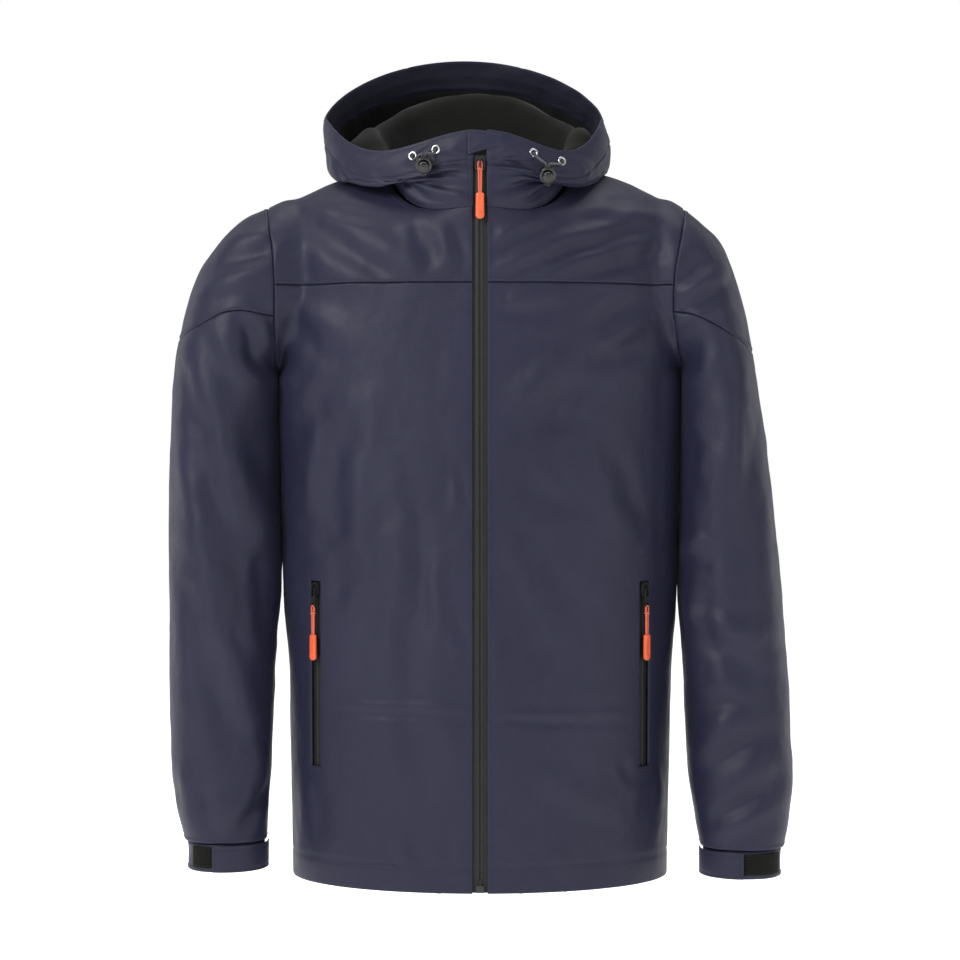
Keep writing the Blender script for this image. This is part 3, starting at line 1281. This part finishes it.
inner_cols = range(2, LAST - 1)
facing_cloth = hood_layer("hood_facing_cloth", inner_cols, lambda top: np.linspace(top - 33.5, top - 0.9, 26),
                          lambda t: 4.9 - 2.9 * smooth_step(0.8, 0.99, t), 0.6)
dress(facing_cloth, INSIDE, "garment", ["hood_facing"])
hood_lining = hood_layer("hood_lining_cloth", inner_cols, lambda top: np.linspace(2.5, top - 32.5, 120),
                         lambda t: 6.4 - 1.4 * smooth_step(0.9, 1, t), 0.5)
dress(hood_lining, LINING, "garment", ["hood_lining"])

# ------------------------------------------------------------------ inside layers of the body


def skin_layer(name, kinds, depth, material, nodes, keep=None, wavy=0.0):
    """A layer inside the shell panels, that follows them at a depth."""
    faces = [f for f, k in zip(SKIN_FACES, SKIN_KIND) if k in kinds]
    mid = SKIN_MID[np.isin(SKIN_KIND, kinds)]
    if keep is not None:
        ok = keep(mid)
        faces = [f for f, k in zip(faces, ok) if k]
    used = np.unique(np.concatenate(faces))
    index = np.full(len(MOVED), -1)
    index[used] = np.arange(len(used))
    wave = wavy * (1 + noise(BASE[used], (34, 34, 60), 31))
    co = INNER[used] - INNER_N[used] * (depth + wave)[:, None]
    o = mesh_object(name, co, [tuple(index[np.asarray(f)][::-1]) for f in faces], SKIN_UV[used])
    shade(o)
    return dress(o, material, "garment", nodes)


K = {name: k for k, name in enumerate(PANELS)}
low = -BACK_LENGTH + 23
for side in ("right", "left"):
    sg = SLEEVE[side]["sign"]
    skin_layer("lining_front_%s_cloth" % side, [K["front_panel_" + side], K["front_yoke_" + side]], 7.0, LINING,
               ["lining_front_" + side], lambda c: (c[:, 2] > low) & (np.abs(c[:, 0]) > 12), wavy=0.5)
    skin_layer("sleeve_lining_%s_cloth" % side, [K["sleeve_" + side], K["sleeve_cap_" + side]], 7.0, LINING,
               ["sleeve_lining_" + side], wavy=0.5)
    lo, hi = (np.array(v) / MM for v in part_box("pocket_bag_" + side))
    mx, mz = (lo[0] + hi[0]) / 2, (lo[2] + hi[2]) / 2
    hx, hz = (hi[0] - lo[0]) / 2, (hi[2] - lo[2]) / 2
    bag = lambda c: (((np.abs(c[:, 0] - mx) / hx) ** 7 + (np.abs(c[:, 2] - mz) / hz) ** 9) < 1) & (c[:, 1] < SIDE_Y)
    skin_layer("pocket_bag_%s_cloth" % side, [K["front_panel_" + side]], 4.6, LINING, ["pocket_bag_" + side],
               bag)
skin_layer("lining_back_cloth", [K["back_panel"], K["back_yoke"]], 7.0, LINING, ["lining_back"],
           lambda c: c[:, 2] > low, wavy=0.5)
body = [K[n] for n in PANELS if n.startswith(("front_panel", "back_panel"))]
skin_layer("hem_facing_cloth", body, 2.6, INSIDE, ["hem_facing"],
           lambda c: (c[:, 2] < -BACK_LENGTH + 26) & ((np.abs(c[:, 0]) > 12) | (c[:, 1] > SIDE_Y)))

# ------------------------------------------------------------------ stitch rows on the body
def skin_row(mask, key, group="shell"):
    picked = np.where(mask)[0]
    if len(picked) < 8:
        return
    picked = picked[np.argsort(key[picked])]
    p, n = MOVED[picked], SKIN_N[picked]
    step = np.linalg.norm(np.diff(p, axis=0), axis=1)
    cuts = np.where(step > 14)[0]
    for a, b in zip(np.concatenate([[0], cuts + 1]), np.concatenate([cuts + 1, [len(p)]])):
        if b - a > 4:
            stitch_row(p[a:b], n[a:b], group)


BX, BY, BZ = BASE.T
close = lambda v, to: np.abs(v - to) < 0.02
ARM_D = {k: s["sign"] * BX - arm_x(s, BZ) for k, s in SLEEVE.items()}
ON_BODY = (ARM_D["right"] < -1) & (ARM_D["left"] < -1)
BELOW_NECK = BZ < neck_z(BASE) - 2
for sg in (-1, 1):
    skin_row(close(BZ, -YOKE + ROW) & ON_BODY & (BY < SIDE_Y) & (sg * BX > ZIP_EDGE + 1), BX)
    skin_row(close(BX, sg * (ZIP_EDGE + ROW)) & (BY < -100) & BELOW_NECK & (BZ > -BACK_LENGTH), BZ)
    skin_row(close(BZ, -BACK_LENGTH + 26) & ON_BODY & (BY < SIDE_Y) & (sg * BX > ZIP_EDGE), BX)
skin_row(close(BZ, -YOKE + ROW) & ON_BODY & (BY > SIDE_Y), BX)
skin_row(close(BZ, -BACK_LENGTH + 26) & ON_BODY & (BY > SIDE_Y), BX)
for k, s in SLEEVE.items():
    d = ARM_D[k]
    for front in (BY < SIDE_Y, BY > SIDE_Y):
        skin_row(close(d, ROW) & front & (BZ > -196), BZ)
        skin_row(close(BZ - cap_z(s, BX), ROW) & (d > 1) & front, BX)
    end = s["rows"][-1][1]
    turn = np.arctan2(BY - SIDE_Y + 42, s["sign"] * BX - CHEST - 58)
    skin_row(close(BZ, end + ROW) & (s["sign"] * BX > 206), turn)
skin_row(close(BZ - neck_z(BASE), -ROW) & (np.abs(BX) < 112) & (BY < SIDE_Y), BX)
skin_row(close(BZ - neck_z(BASE), -ROW) & (np.abs(BX) < 112) & (BY > SIDE_Y), BX)
for side in POCKETS:
    q = pocket_local(side, BASE)
    on = np.abs(q[:, 1]) < 24
    for sg in (-1, 1):
        skin_row(on & close(q[:, 0], sg * (MOUTH + ROW)) & (q[:, 2] < 22.5) & (q[:, 2] > -MOUTH_LENGTH - ROW), q[:, 2])
    for z in (-MOUTH_LENGTH - ROW, 22):
        skin_row(on & close(q[:, 2], z) & (np.abs(q[:, 0]) < MOUTH + ROW + 0.1), q[:, 0])
make_stitches("stitches", "shell", THREAD)


# ------------------------------------------------------------------ cuffs
def cuff_point(cuff, turn, z, proud=0.0):
    x, y, half, depth, sign = cuff
    a = np.radians(turn)
    return np.stack([x + sign * (half + proud) * np.cos(a), y - (depth + proud) * np.sin(a), z + 0 * a], -1)


CUFFS = {"right": (-259.0, -104.0, 39.4, 42.4, -1), "left": (267.5, -104.0, 39.9, 42.4, 1)}
CUFF_TOP = {"right": -677.4, "left": -684.4}
FREE = {"right": 78, "left": 95}
PATCH_FROM = {"right": 41, "left": 32}
for side, cuff in CUFFS.items():
    sign, top = cuff[4], CUFF_TOP[side]
    middle = top - 14
    turn = np.linspace(0, 360, 160, endpoint=False)[:, None] + np.zeros(12)
    v = np.concatenate([[-0.3, -0.12, -0.02], np.linspace(0, 1, 9)])[None] + 0 * turn
    wave = noise(np.stack([turn / 360 * 260, v * 28, 0 * v], -1), (34, 20, 9), 41 + sign)
    flat = smooth_step(-60, -40, np.abs((turn - 115 + 180) % 360 - 180) * -1)
    p = cuff_point(cuff, turn, top - 0.6 - v * 26.8, 0)
    n = cuff_point(cuff, turn, 0 * turn, 1) - cuff_point(cuff, turn, 0 * turn, 0)
    groove = np.exp(-(((v * 28 - 2.6) / 1.0) ** 2)) + np.exp(-(((v * 28 - 25) / 1.0) ** 2))
    inside = np.where(v < 0, -2.2 - 9 * np.maximum(-v - 0.1, 0), 0)
    level = (wave * 0.9 - 0.7) * (1 - flat) * np.sin(np.pi * np.clip(v, 0, 1))
    p = p + n * (level - 0.45 * groove * (1 - flat) * (v > 0) - 0.15 + inside)[..., None]
    facing = 1 if (grid_normals(p, True) * n).sum(-1).mean() > 0 else -1
    band = thick_sheet("cuff_band_%s_cloth" % side, p, 2.9, facing, wrap=True)
    dress(band, NAVY, "garment", ["cuff_band_" + side])

    def strip(name, a0, a1, z0, z1, high, thick, nu, nv, lift=None):
        u = np.linspace(0, 1, nu)[:, None] + np.zeros(nv)
        w = np.linspace(0, 1, nv)[None] + 0 * u
        up = high + (lift(u, w) if lift else 0)
        q = cuff_point(cuff, a0 + (a1 - a0) * u, z0 + (z1 - z0) * w, up)
        m = cuff_point(cuff, a0 + (a1 - a0) * u, 0 * w, 1) - cuff_point(cuff, a0 + (a1 - a0) * u, 0 * w, 0)
        f = 1 if (grid_normals(q) * m).sum(-1).mean() > 0 else -1
        return thick_sheet(name, q, thick, f), q, m

    free = FREE[side]
    pile, _, _ = strip("cuff_loop_patch_%s_cloth" % side, PATCH_FROM[side], free + 38, middle - 10, middle + 10, 1.3, 0.9, 60, 16,
                       lambda u, w: 0.12 * noise(np.stack([u * 60, w * 20, 0 * u], -1), (2.2, 2.2, 9), 44))
    dress(pile, PILE, "garment", ["cuff_loop_patch_" + side])
    hook, _, _ = strip("cuff_hook_patch_%s_cloth" % side, free + 3, free + 37, middle - 10, middle + 10, 2.4, 0.7, 30, 12)
    dress(hook, PILE, "cuff_tab_" + side, ["cuff_hook_patch_" + side])
    bow = lambda u, w: 0.25 * noise(np.stack([u * 80, w * 26, 0 * u], -1), (26, 17, 9), 46) - 0.45 * (
        np.exp(-(((w * 26 - 2.4) / 0.9) ** 2)) + np.exp(-(((w * 26 - 23.6) / 0.9) ** 2)) + np.exp(-(((u * 74 - 2.4) / 0.9) ** 2)))
    # the free end has clipped corners
    tab, q, m = strip("cuff_tab_%s_cloth" % side, free, 189, middle - 13.6, middle + 11.6, 4.0, 1.3, 60, 20, bow)
    dress(tab, NAVY, "cuff_tab_" + side, ["cuff_tab_" + side])
    before = STITCHES["shell"]
    STITCHES["shell"] = []
    stitch_row(q[2:-2, 2], m[2:-2, 2])
    stitch_row(q[2:-2, -3], m[2:-2, -3])
    stitch_row(q[2, 2:-2], m[2, 2:-2])
    o = make_stitches("cuff_tab_stitches_" + side, "shell", THREAD)
    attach(o, "cuff_tab_" + side)
    STITCHES["shell"] = []
    for z, out in ((top - 3.2, 0), (top - 25.4, 0)):
        a = np.linspace(0, 360, 200)
        stitch_row(cuff_point(cuff, a, z + 0 * a, -0.55), cuff_point(cuff, a, 0 * a, 1) - cuff_point(cuff, a, 0 * a, 0))
    make_stitches("cuff_stitches_" + side, "shell", THREAD)
    STITCHES["shell"] = before

# ------------------------------------------------------------------ front zip
UP = np.array([0, 0.05024, 0.99874])
OUT = np.array([0, -0.99874, 0.05024])
ZIP_FOOT = np.array([0, -199.98, -718.0])


def zip_spot(x, high, depth):
    x, high, depth = np.broadcast_arrays(np.asarray(x, float), high, depth)
    return ZIP_FOOT + high[..., None] * UP - depth[..., None] * OUT + x[..., None] * np.array([1.0, 0, 0])


def zip_tape(name, place, inner, outer, z0, z1, rows, body="garment", node=None, depth=3.2, sg=1):
    x = np.array([inner, inner + 0.25, 0.9, 1.7, 2.6, 3.4, 4.0, 4.6, 6.0, 8.0, outer])
    rib = np.array([-0.5, 0, 0.28, 0.45, 0.45, 0.28, 0, -0.12, 0, 0, 0])
    z = np.linspace(z0, z1, rows)
    u = sg * x[:, None] + 0 * z[None]
    teeth = 0.05 * np.sin(z * 2 * np.pi / 2.4)[None] * (np.abs(x - 2.2) < 1.5)[:, None]
    q = place(u, z[None] + 0 * u, depth - rib[:, None] - teeth)
    uv = np.stack([u * MM, z[None] * MM + 0 * u], -1)
    m = place(0.0, 0.0, 0.0) - place(0.0, 0.0, 1.0)
    f = 1 if (grid_normals(q) * m).sum(-1).mean() > 0 else -1
    o = thick_sheet(name, q, 0.7, f, uv=uv)
    return dress(o, TAPE, body, [node] if node else [])


def coil_half(name, place, sg, z0, z1, depth, node):
    pitch, turn_steps, around = 2.4, 8, 5
    count = int((z1 - z0) / pitch) * turn_steps
    k = np.arange(count)
    a = k / turn_steps * 2 * np.pi
    cx, cz, cd = sg * (2.2 + 1.15 * np.cos(a)), z0 + k / turn_steps * pitch, depth + 0.8 + 0.62 * np.sin(a)
    centre = np.stack([cx, cz, cd], 1)
    way = np.gradient(centre, axis=0)
    way /= np.linalg.norm(way, axis=1, keepdims=True)
    side = np.cross(way, [0, 1, 0])
    side /= np.linalg.norm(side, axis=1, keepdims=True)
    up = np.cross(side, way)
    b = np.arange(around) / around * 2 * np.pi
    ring_ = centre[:, None] + 0.34 * (side[:, None] * np.cos(b)[None, :, None] + up[:, None] * np.sin(b)[None, :, None])
    p = place(ring_[..., 0], ring_[..., 1], ring_[..., 2])
    faces = [tuple(f) for f in grid_faces(around, count, True)]
    q = np.transpose(p, (1, 0, 2)).reshape(-1, 3)
    o = mesh_object(name, q, faces, q[:, [0, 2]] * MM)
    shade(o)
    return dress(o, COIL, "garment", [node])


for side, sg in (("right", -1), ("left", 1)):
    zip_tape("zip_tape_%s_cloth" % side, zip_spot, 0.02, 12.0, 1.2, 730.5, 620, node="zip_tape_" + side, sg=sg)
    coil_half("zip_coil_%s_teeth" % side, zip_spot, sg, 9.0, 727, 4.3, "zip_coil_" + side)


# ------------------------------------------------------------------ pocket zips
for side, sg in (("right", -1), ("left", 1)):
    origin, axes = POCKETS[side]
    place = lambda x, high, depth, origin=origin, axes=axes: origin + np.stack(np.broadcast_arrays(
        np.asarray(x, float), np.asarray(depth, float), np.asarray(high, float)), -1) @ axes
    x = np.array([-12.4, -9, -4.6, -4, -3.3, -2.5, -1.7, -0.9, -0.3, 0, 0.3, 0.9, 1.7, 2.5, 3.3, 4, 4.6, 9, 12.4])
    rib = np.array([0, 0, -0.1, 0, 0.25, 0.42, 0.42, 0.25, -0.05, -0.6, -0.05, 0.25, 0.42, 0.42, 0.25, 0, -0.1, 0, 0])
    z = np.linspace(-197.5, 13.5, 180)
    u = x[:, None] + 0 * z[None]
    q = place(u, z[None] + 0 * u, 3.5 - rib[:, None] - 0.05 * np.sin(z * 2 * np.pi / 2.4)[None])
    m = place(0, 0, 0) - place(0, 0, 1)
    f = 1 if (grid_normals(q) * m).sum(-1).mean() > 0 else -1
    o = thick_sheet("pocket_zip_tape_%s_cloth" % side, q, 0.7, f, uv=np.stack([u, z[None] + 0 * u], -1) * MM)
    dress(o, TAPE, "garment", ["pocket_zip_tape_" + side])


# ------------------------------------------------------------------ pull cords
def tube(name, lines, radius, around, material, body, nodes):
    verts, faces, uvs, base = [], [], [], 0
    for line, wrap in lines:
        line = np.asarray(line, float)
        way = (np.roll(line, -1, 0) - np.roll(line, 1, 0)) if wrap else np.gradient(line, axis=0)
        way /= np.maximum(np.linalg.norm(way, axis=1, keepdims=True), 1e-9)
        run = np.concatenate([[0], np.cumsum(np.linalg.norm(np.diff(line, axis=0), axis=1))])
        side = np.zeros_like(line)
        seed_ = np.array([0.31, 0.77, 0.55])
        s0 = np.cross(way[0], seed_)
        for i in range(len(line)):
            s0 = s0 - (s0 @ way[i]) * way[i]
            s0 /= np.linalg.norm(s0)
            side[i] = s0
        up = np.cross(way, side)
        b = np.arange(around) / around * 2 * np.pi
        ends = np.ones(len(line))
        if not wrap:
            ends[0] = ends[-1] = 0.55
        r = radius * ends[:, None, None]
        p = line[:, None] + r * (side[:, None] * np.cos(b)[None, :, None] + up[:, None] * np.sin(b)[None, :, None])
        q = np.transpose(p, (1, 0, 2)).reshape(-1, 3)
        n = len(line)
        uvs.append(np.stack([np.tile(run, around) * MM, np.repeat(b / (2 * np.pi), n)], 1))
        for i in range(around):
            i2 = (i + 1) % around
            for j in range(n if wrap else n - 1):
                j2 = (j + 1) % n
                faces.append((base + i * n + j, base + i2 * n + j, base + i2 * n + j2, base + i * n + j2))
        if not wrap:
            faces.append(tuple(base + i * n for i in range(around))[::-1])
            faces.append(tuple(base + i * n + n - 1 for i in range(around)))
        verts.append(q)
        base += len(q)
    o = mesh_object(name, np.concatenate(verts), faces, np.concatenate(uvs))
    shade(o)
    return dress(o, material, body, nodes)


def curve_through(points, per=10):
    points = np.asarray(points, float)
    t = np.linspace(0, 1, (len(points) - 1) * per + 1)
    return smooth_rows(points, t)


PULLS = {
    "zip_pull": ((0, -163.710, 3.011), np.array([[1, 0, 0], [0, 0.99874, -0.05024], [0, 0.05024, 0.99874]]),
                 -29.0, "zip_pull_cord", "zip_pull_grip", 3.0),
    "pocket_pull_right": ((-165.975, -136.726, -421.75),
                          np.array([[0.70091, -0.71325, 0], [0.71324, 0.70090, 0.00459], [-0.00328, -0.00322, 0.99999]]),
                          -45.0, "pocket_pull_cord_right", "pocket_grip_right", -15.4),
    "pocket_pull_left": ((165.975, -136.726, -421.75),
                         np.array([[0.70091, 0.71325, 0], [-0.71324, 0.70090, 0.00459], [0.00328, -0.00322, 0.99999]]),
                         -45.0, "pocket_pull_cord_left", "pocket_grip_left", -15.4),
}
for body_name, (at, axes, end, cord_node, grip_node, start) in PULLS.items():
    lo, hi = (np.array(v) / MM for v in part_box(cord_node))
    at = np.array(at)
    spot = lambda pts, at=at, axes=axes: at + np.asarray(pts, float) @ axes
    y = -3.4 if body_name == "zip_pull" else -3.1
    top = start - 1.4
    lines = []
    for sx in (-1, 1):
        lines.append((spot(curve_through([(sx * 0.75, y, end - 2.5), (sx * 1.0, y, end + 3), (sx * 1.15, y, (end + top) / 2 - 2),
                                          (sx * 1.25, y, top - 8), (sx * 1.75, y, top - 3.8), (sx * 1.3, y, top - 0.8), (0, y - 0.25, top)][::1])), False))
    knot = [(1.95 * math.cos(a), y + 1.45 * math.sin(a), top - 7.8 + 0.35 * math.sin(a * 0.5)) for a in np.linspace(0, 2 * np.pi, 26)[:-1]]
    lines.append((spot(knot), True))
    tube(cord_node + "_braid", lines, 1.02, 10, ORANGE_CORD, body_name, [cord_node])

    # grip: flat rubber, a little wider towards its round end, ribbed down one edge
    glo, ghi = end - 0.3 - 26.5, end - 0.3
    k = np.linspace(0, 1, 96)
    z = ghi - k * 26.5
    half = 4.1 + 0.45 * k
    half = np.where(k < 0.07, half * np.sqrt(np.clip(1 - ((0.07 - k) / 0.075) ** 2, 0.05, 1)), half)
    half = np.where(k > 0.84, half * np.sqrt(np.clip(1 - ((k - 0.84) / 0.163) ** 2, 0.01, 1)), half)
    thick = 2.35 * np.sqrt(np.clip(1 - np.clip(np.abs(k - 0.5) - 0.42, 0, 1) ** 2 / 0.0068, 0.03, 1))
    b = np.arange(36) / 36 * 2 * np.pi
    cx, cy = np.cos(b), np.sin(b)
    px = np.sign(cx) * np.abs(cx) ** 0.75
    py = np.sign(cy) * np.abs(cy) ** 0.8
    ribs = 0.28 * np.maximum(0, np.sin(k * 26.5 * 2 * np.pi / 2.3)) * ((k > 0.2) & (k < 0.74))
    wide = half[:, None] * px[None] - ribs[:, None] * np.where(px > 0.55, 1, 0)[None]
    deep = thick[:, None] * py[None] - (0.35 * ((np.abs(k - 0.46) < 0.3) * 1.0))[:, None] * np.where(np.abs(px) < 0.45, np.sign(py), 0)[None]
    pts = np.stack([wide, y + deep, z[:, None] + 0 * wide], -1)
    q = np.transpose(spot(pts), (1, 0, 2)).reshape(-1, 3)
    n = len(k)
    faces = [tuple(f) for f in grid_faces(36, n, True)] + [tuple(i * n for i in range(36)), tuple(i * n + n - 1 for i in range(36))[::-1]]
    o = mesh_object(grip_node + "_rubber", q, faces, q[:, [0, 2]] * MM)
    bm = bmesh.new()
    bm.from_mesh(o.data)
    bmesh.ops.recalc_face_normals(bm, faces=bm.faces)
    bm.to_mesh(o.data)
    bm.free()
    shade(o, 50)
    dress(o, ORANGE, body_name, [grip_node])


def finish_node(name, material, bevel, smooth=35):
    o = NODE[name]
    o.data.materials.clear()
    o.data.materials.append(material)
    if bevel:
        m = o.modifiers.new("edge", "BEVEL")
        m.width = bevel * MM
        m.segments = 3
        m.limit_method = "ANGLE"
        m.angle_limit = rad(smooth)
        m.harden_normals = False
    w = o.modifiers.new("weighted", "WEIGHTED_NORMAL")
    w.keep_sharp = False


for side in ("right", "left"):
    finish_node("pocket_slider_" + side, ENAMEL, 0.35)
    finish_node("pocket_pull_tab_" + side, ENAMEL, 0.25)
finish_node("zip_slider", ENAMEL, 0.35)
finish_node("zip_retainer_box", ENAMEL, 0.25)

# ------------------------------------------------------------------ cord locks, eyelets and drawcord
def lathe(name, profile, at, axis, material, body, nodes, around=48, hard=30):
    """Turns (radius, height) points about an axis through a point."""
    axis = np.asarray(axis, float) / np.linalg.norm(axis)
    side = np.cross(axis, [1.0, 0.1, 0.2])
    side /= np.linalg.norm(side)
    up = np.cross(axis, side)
    b = np.arange(around) / around * 2 * np.pi
    prof = np.asarray(profile, float)
    p = np.asarray(at, float) + prof[None, :, 1, None] * axis + prof[None, :, 0, None] * (
        np.cos(b)[:, None, None] * side + np.sin(b)[:, None, None] * up)
    faces = [tuple(f) for f in grid_faces(around, len(prof), True)]
    uv = np.stack(np.broadcast_arrays(b[:, None] * 0.01, prof[None, :, 1] * MM), -1).reshape(-1, 2)
    o = mesh_object(name, p.reshape(-1, 3), faces, uv)
    bm = bmesh.new()
    bm.from_mesh(o.data)
    bmesh.ops.remove_doubles(bm, verts=bm.verts, dist=1e-6)
    bmesh.ops.recalc_face_normals(bm, faces=bm.faces)
    bm.to_mesh(o.data)
    bm.free()
    shade(o, hard)
    return dress(o, material, body, nodes)


def arc(cx, cy, r, a0, a1, count):
    return [(cx + r * math.cos(rad(a)), cy + r * math.sin(rad(a))) for a in np.linspace(a0, a1, count)]


LOCKS = {"right": np.array([-55.961, -169.240, 0.986]), "left": np.array([67.291, -166.694, -8.732])}
LOCK_Y, LOCK_Z = np.array([0, -0.42262, 0.90631]), np.array([0, -0.90631, -0.42262])
for side, at in LOCKS.items():
    shell_line = [(0, -8.5)] + arc(6.6, -6.6, 1.9, -90, 0, 6) + arc(7.4, 2.4, 1.1, 0, 90, 5) + [(6.2, 3.5), (5.2, 3.5)] \
        + arc(5.1, 3.2, 0.3, 90, 180, 3) + [(4.8, -6), (0, -6)]
    shell_line[1:2] = arc(6.6, -6.6, 1.9, -90, -75, 2)
    lathe("cord_lock_body_%s_shell" % side, shell_line, at, LOCK_Z, BLACK, "cord_lock_" + side,
          ["cord_lock_body_" + side])
    head = [(0, -2.6), (4.35, -2.6), (4.4, 6.4)] + arc(5.1, 7.25, 0.5, -90, 0, 4) + arc(3.7, 8.6, 1.95, 0, 60, 6) \
        + arc(0, 2.75, 8.3, 70, 90, 6)
    head[-1] = (0, head[-1][1])
    lathe("cord_lock_plunger_%s_knob" % side, head, at, LOCK_Z, BLACK, "cord_lock_plunger_" + side,
          ["cord_lock_plunger_" + side])

EYELET_AT = {}
for side in ("right", "left"):
    for k in ("inner", "outer"):
        node = "eyelet_%s_%s" % (side, k)
        lo, hi = (np.array(v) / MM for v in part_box(node))
        mid = (lo + hi) / 2
        i, j = np.unravel_index(np.argmin(np.linalg.norm(HP[..., [0, 2]] - mid[[0, 2]], axis=-1)
                                          + 1000 * (HP[..., 1] > SIDE_Y) + 1000 * (H_DROP > 22)), HP.shape[:2])
        n = HN[i, j]
        spot = H_SKIN[i, j] + n * 0.1
        EYELET_AT[side, k] = (spot, n, i)
        ringed = [(2.3, -2.0), (2.9, -2.0), (2.9, 0.1)] + arc(4.45, 0.3, 0.25, -90, 40, 4) + arc(3.5, 0.0, 1.2, 50, 130, 7) \
            + arc(2.75, 0.35, 0.45, 120, 200, 4) + [(2.3, -2.0)]
        lathe(node + "_ring", ringed, spot, n, STEEL, "garment", [node], 40, 60)

TUNNEL_R, TUNNEL_L = EYELET_AT["right", "outer"][2], EYELET_AT["left", "outer"][2]


def cord_half(side, sg):
    """From inside the inner eyelet, through the lock and into the outer eyelet."""
    (pi, ni, _), (po, no, _) = EYELET_AT[side, "inner"], EYELET_AT[side, "outer"]
    at = LOCKS[side]
    x = np.array([1.0, 0, 0])
    lock = lambda sx, y, out=0.0: at + x * sx + LOCK_Y * y + LOCK_Z * out
    first, second = -sg * 1.5, sg * 1.5
    hang = np.array([0, 0, -1.0])
    return [pi - ni * 4, pi - ni * 0.5, pi + ni * 2.2 + hang * 0.8, pi + ni * 3.2 + hang * 4.5 + x * sg * 2.0,
            lock(first * 1.4, 11.5), lock(first, 7.5), lock(first, 0), lock(first, -7.5), lock(first * 1.25, -9.3),
            lock(0.4 * sg, -10.4), lock(second * 1.25, -9.3), lock(second, -7.5), lock(second, 0), lock(second, 7.5),
            lock(second * 1.4, 11.5), po + no * 3.0 + hang * 3.6 - x * sg * 2.0, po + no * 2.2 + hang * 0.6, po - no * 0.5, po - no * 4]


tunnel = []
for c in range(TUNNEL_R + 3, TUNNEL_L - 2, 2):
    d = H_DROP[c][::-1]
    tunnel.append([np.interp(12.0, d, (H_SKIN[c] - HN[c] * 2.9)[::-1, k]) for k in range(3)])
route = np.array(cord_half("right", -1) + tunnel + cord_half("left", 1)[::-1])
route = curve_through(route, 5)
tube("hood_drawcord_braid", [(route, False)], 1.05, 10, CORD, "garment", ["hood_drawcord"])

# ------------------------------------------------------------------ chin guard and hanger loop
u = np.linspace(0, 1, 30)[:, None] + np.zeros(26)
v = np.linspace(0, 1, 26)[None] + 0 * u
low_t = 0.735 + (0.86 - 0.735) * u
t = low_t + (0.998 - 0.05 * u - low_t) * v
half = smooth_rows(HOOD, t)[..., 3]
a = np.arcsin((-11.5 + 33.5 * u) / half)
p = hood_point(a, t)
n = grid_normals(p)
n *= np.sign((n * np.array([0, -1, 0])).sum(-1).mean())
soft = 0.3 * noise(np.stack([u * 35, v * 24, 0 * u], -1), (13, 10, 9), 51)
rimmed = 0.4 * (np.exp(-(((u * 35 - 32) / 0.9) ** 2)) + np.exp(-(((v * 24 - 21.5) / 0.9) ** 2)) + np.exp(-(((v * 24 - 2.2) / 0.9) ** 2)))
p = p + n * (1.55 + soft - rimmed)[..., None]
f = 1 if (grid_normals(p) * n).sum(-1).mean() > 0 else -1
guard = thick_sheet("chin_guard_cloth", p, 1.2, f)
dress(guard, NAVY, "chin_guard", ["chin_guard"])

u = np.linspace(0, 1, 60)[:, None] + np.zeros(9)
v = np.linspace(0, 1, 9)[None] + 0 * u
x = -32 + 64 * u
wall = SIDE_Y + 62 * np.cos(np.arcsin(x / NECK_HALF)) - 6.6 - 1.2 - 0.6
stand = 8.4 * np.sin(np.pi * u) ** 2
p = np.stack([x, wall - stand, -10 + 8 * v - 2 + 2 - stand / 3], -1)
lo, hi = (np.array(c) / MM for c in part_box("hanger_loop"))
p[..., 1] += lo[1] - p[..., 1].min() + 0.1
p[..., 2] = lo[2] + (p[..., 2] - p[..., 2].min()) / (p[..., 2].max() - p[..., 2].min()) * (hi[2] - lo[2])
p[..., 1] -= 0.12 * np.cos(v * 2 * np.pi)
m = np.array([0, -1, 0])
f = 1 if (grid_normals(p) * m).sum(-1).mean() > 0 else -1
loop = thick_sheet("hanger_loop_cloth", p, 1.0, f)
dress(loop, INSIDE, "garment", ["hanger_loop"])

# ------------------------------------------------------------------ stage
FAR, LOW = 9000, -900
floor = mesh_object("floor", [(-FAR, -FAR, LOW), (FAR, -FAR, LOW), (FAR, FAR, LOW), (-FAR, FAR, LOW)], [(0, 1, 2, 3)])
pale = Nodes("pale_floor")
pale.set(Base_Color=(0.92, 0.92, 0.92, 1), Roughness=0.95, Emission_Color=(1, 1, 1, 1), Emission_Strength=0.75)
floor.data.materials.append(pale.mat)
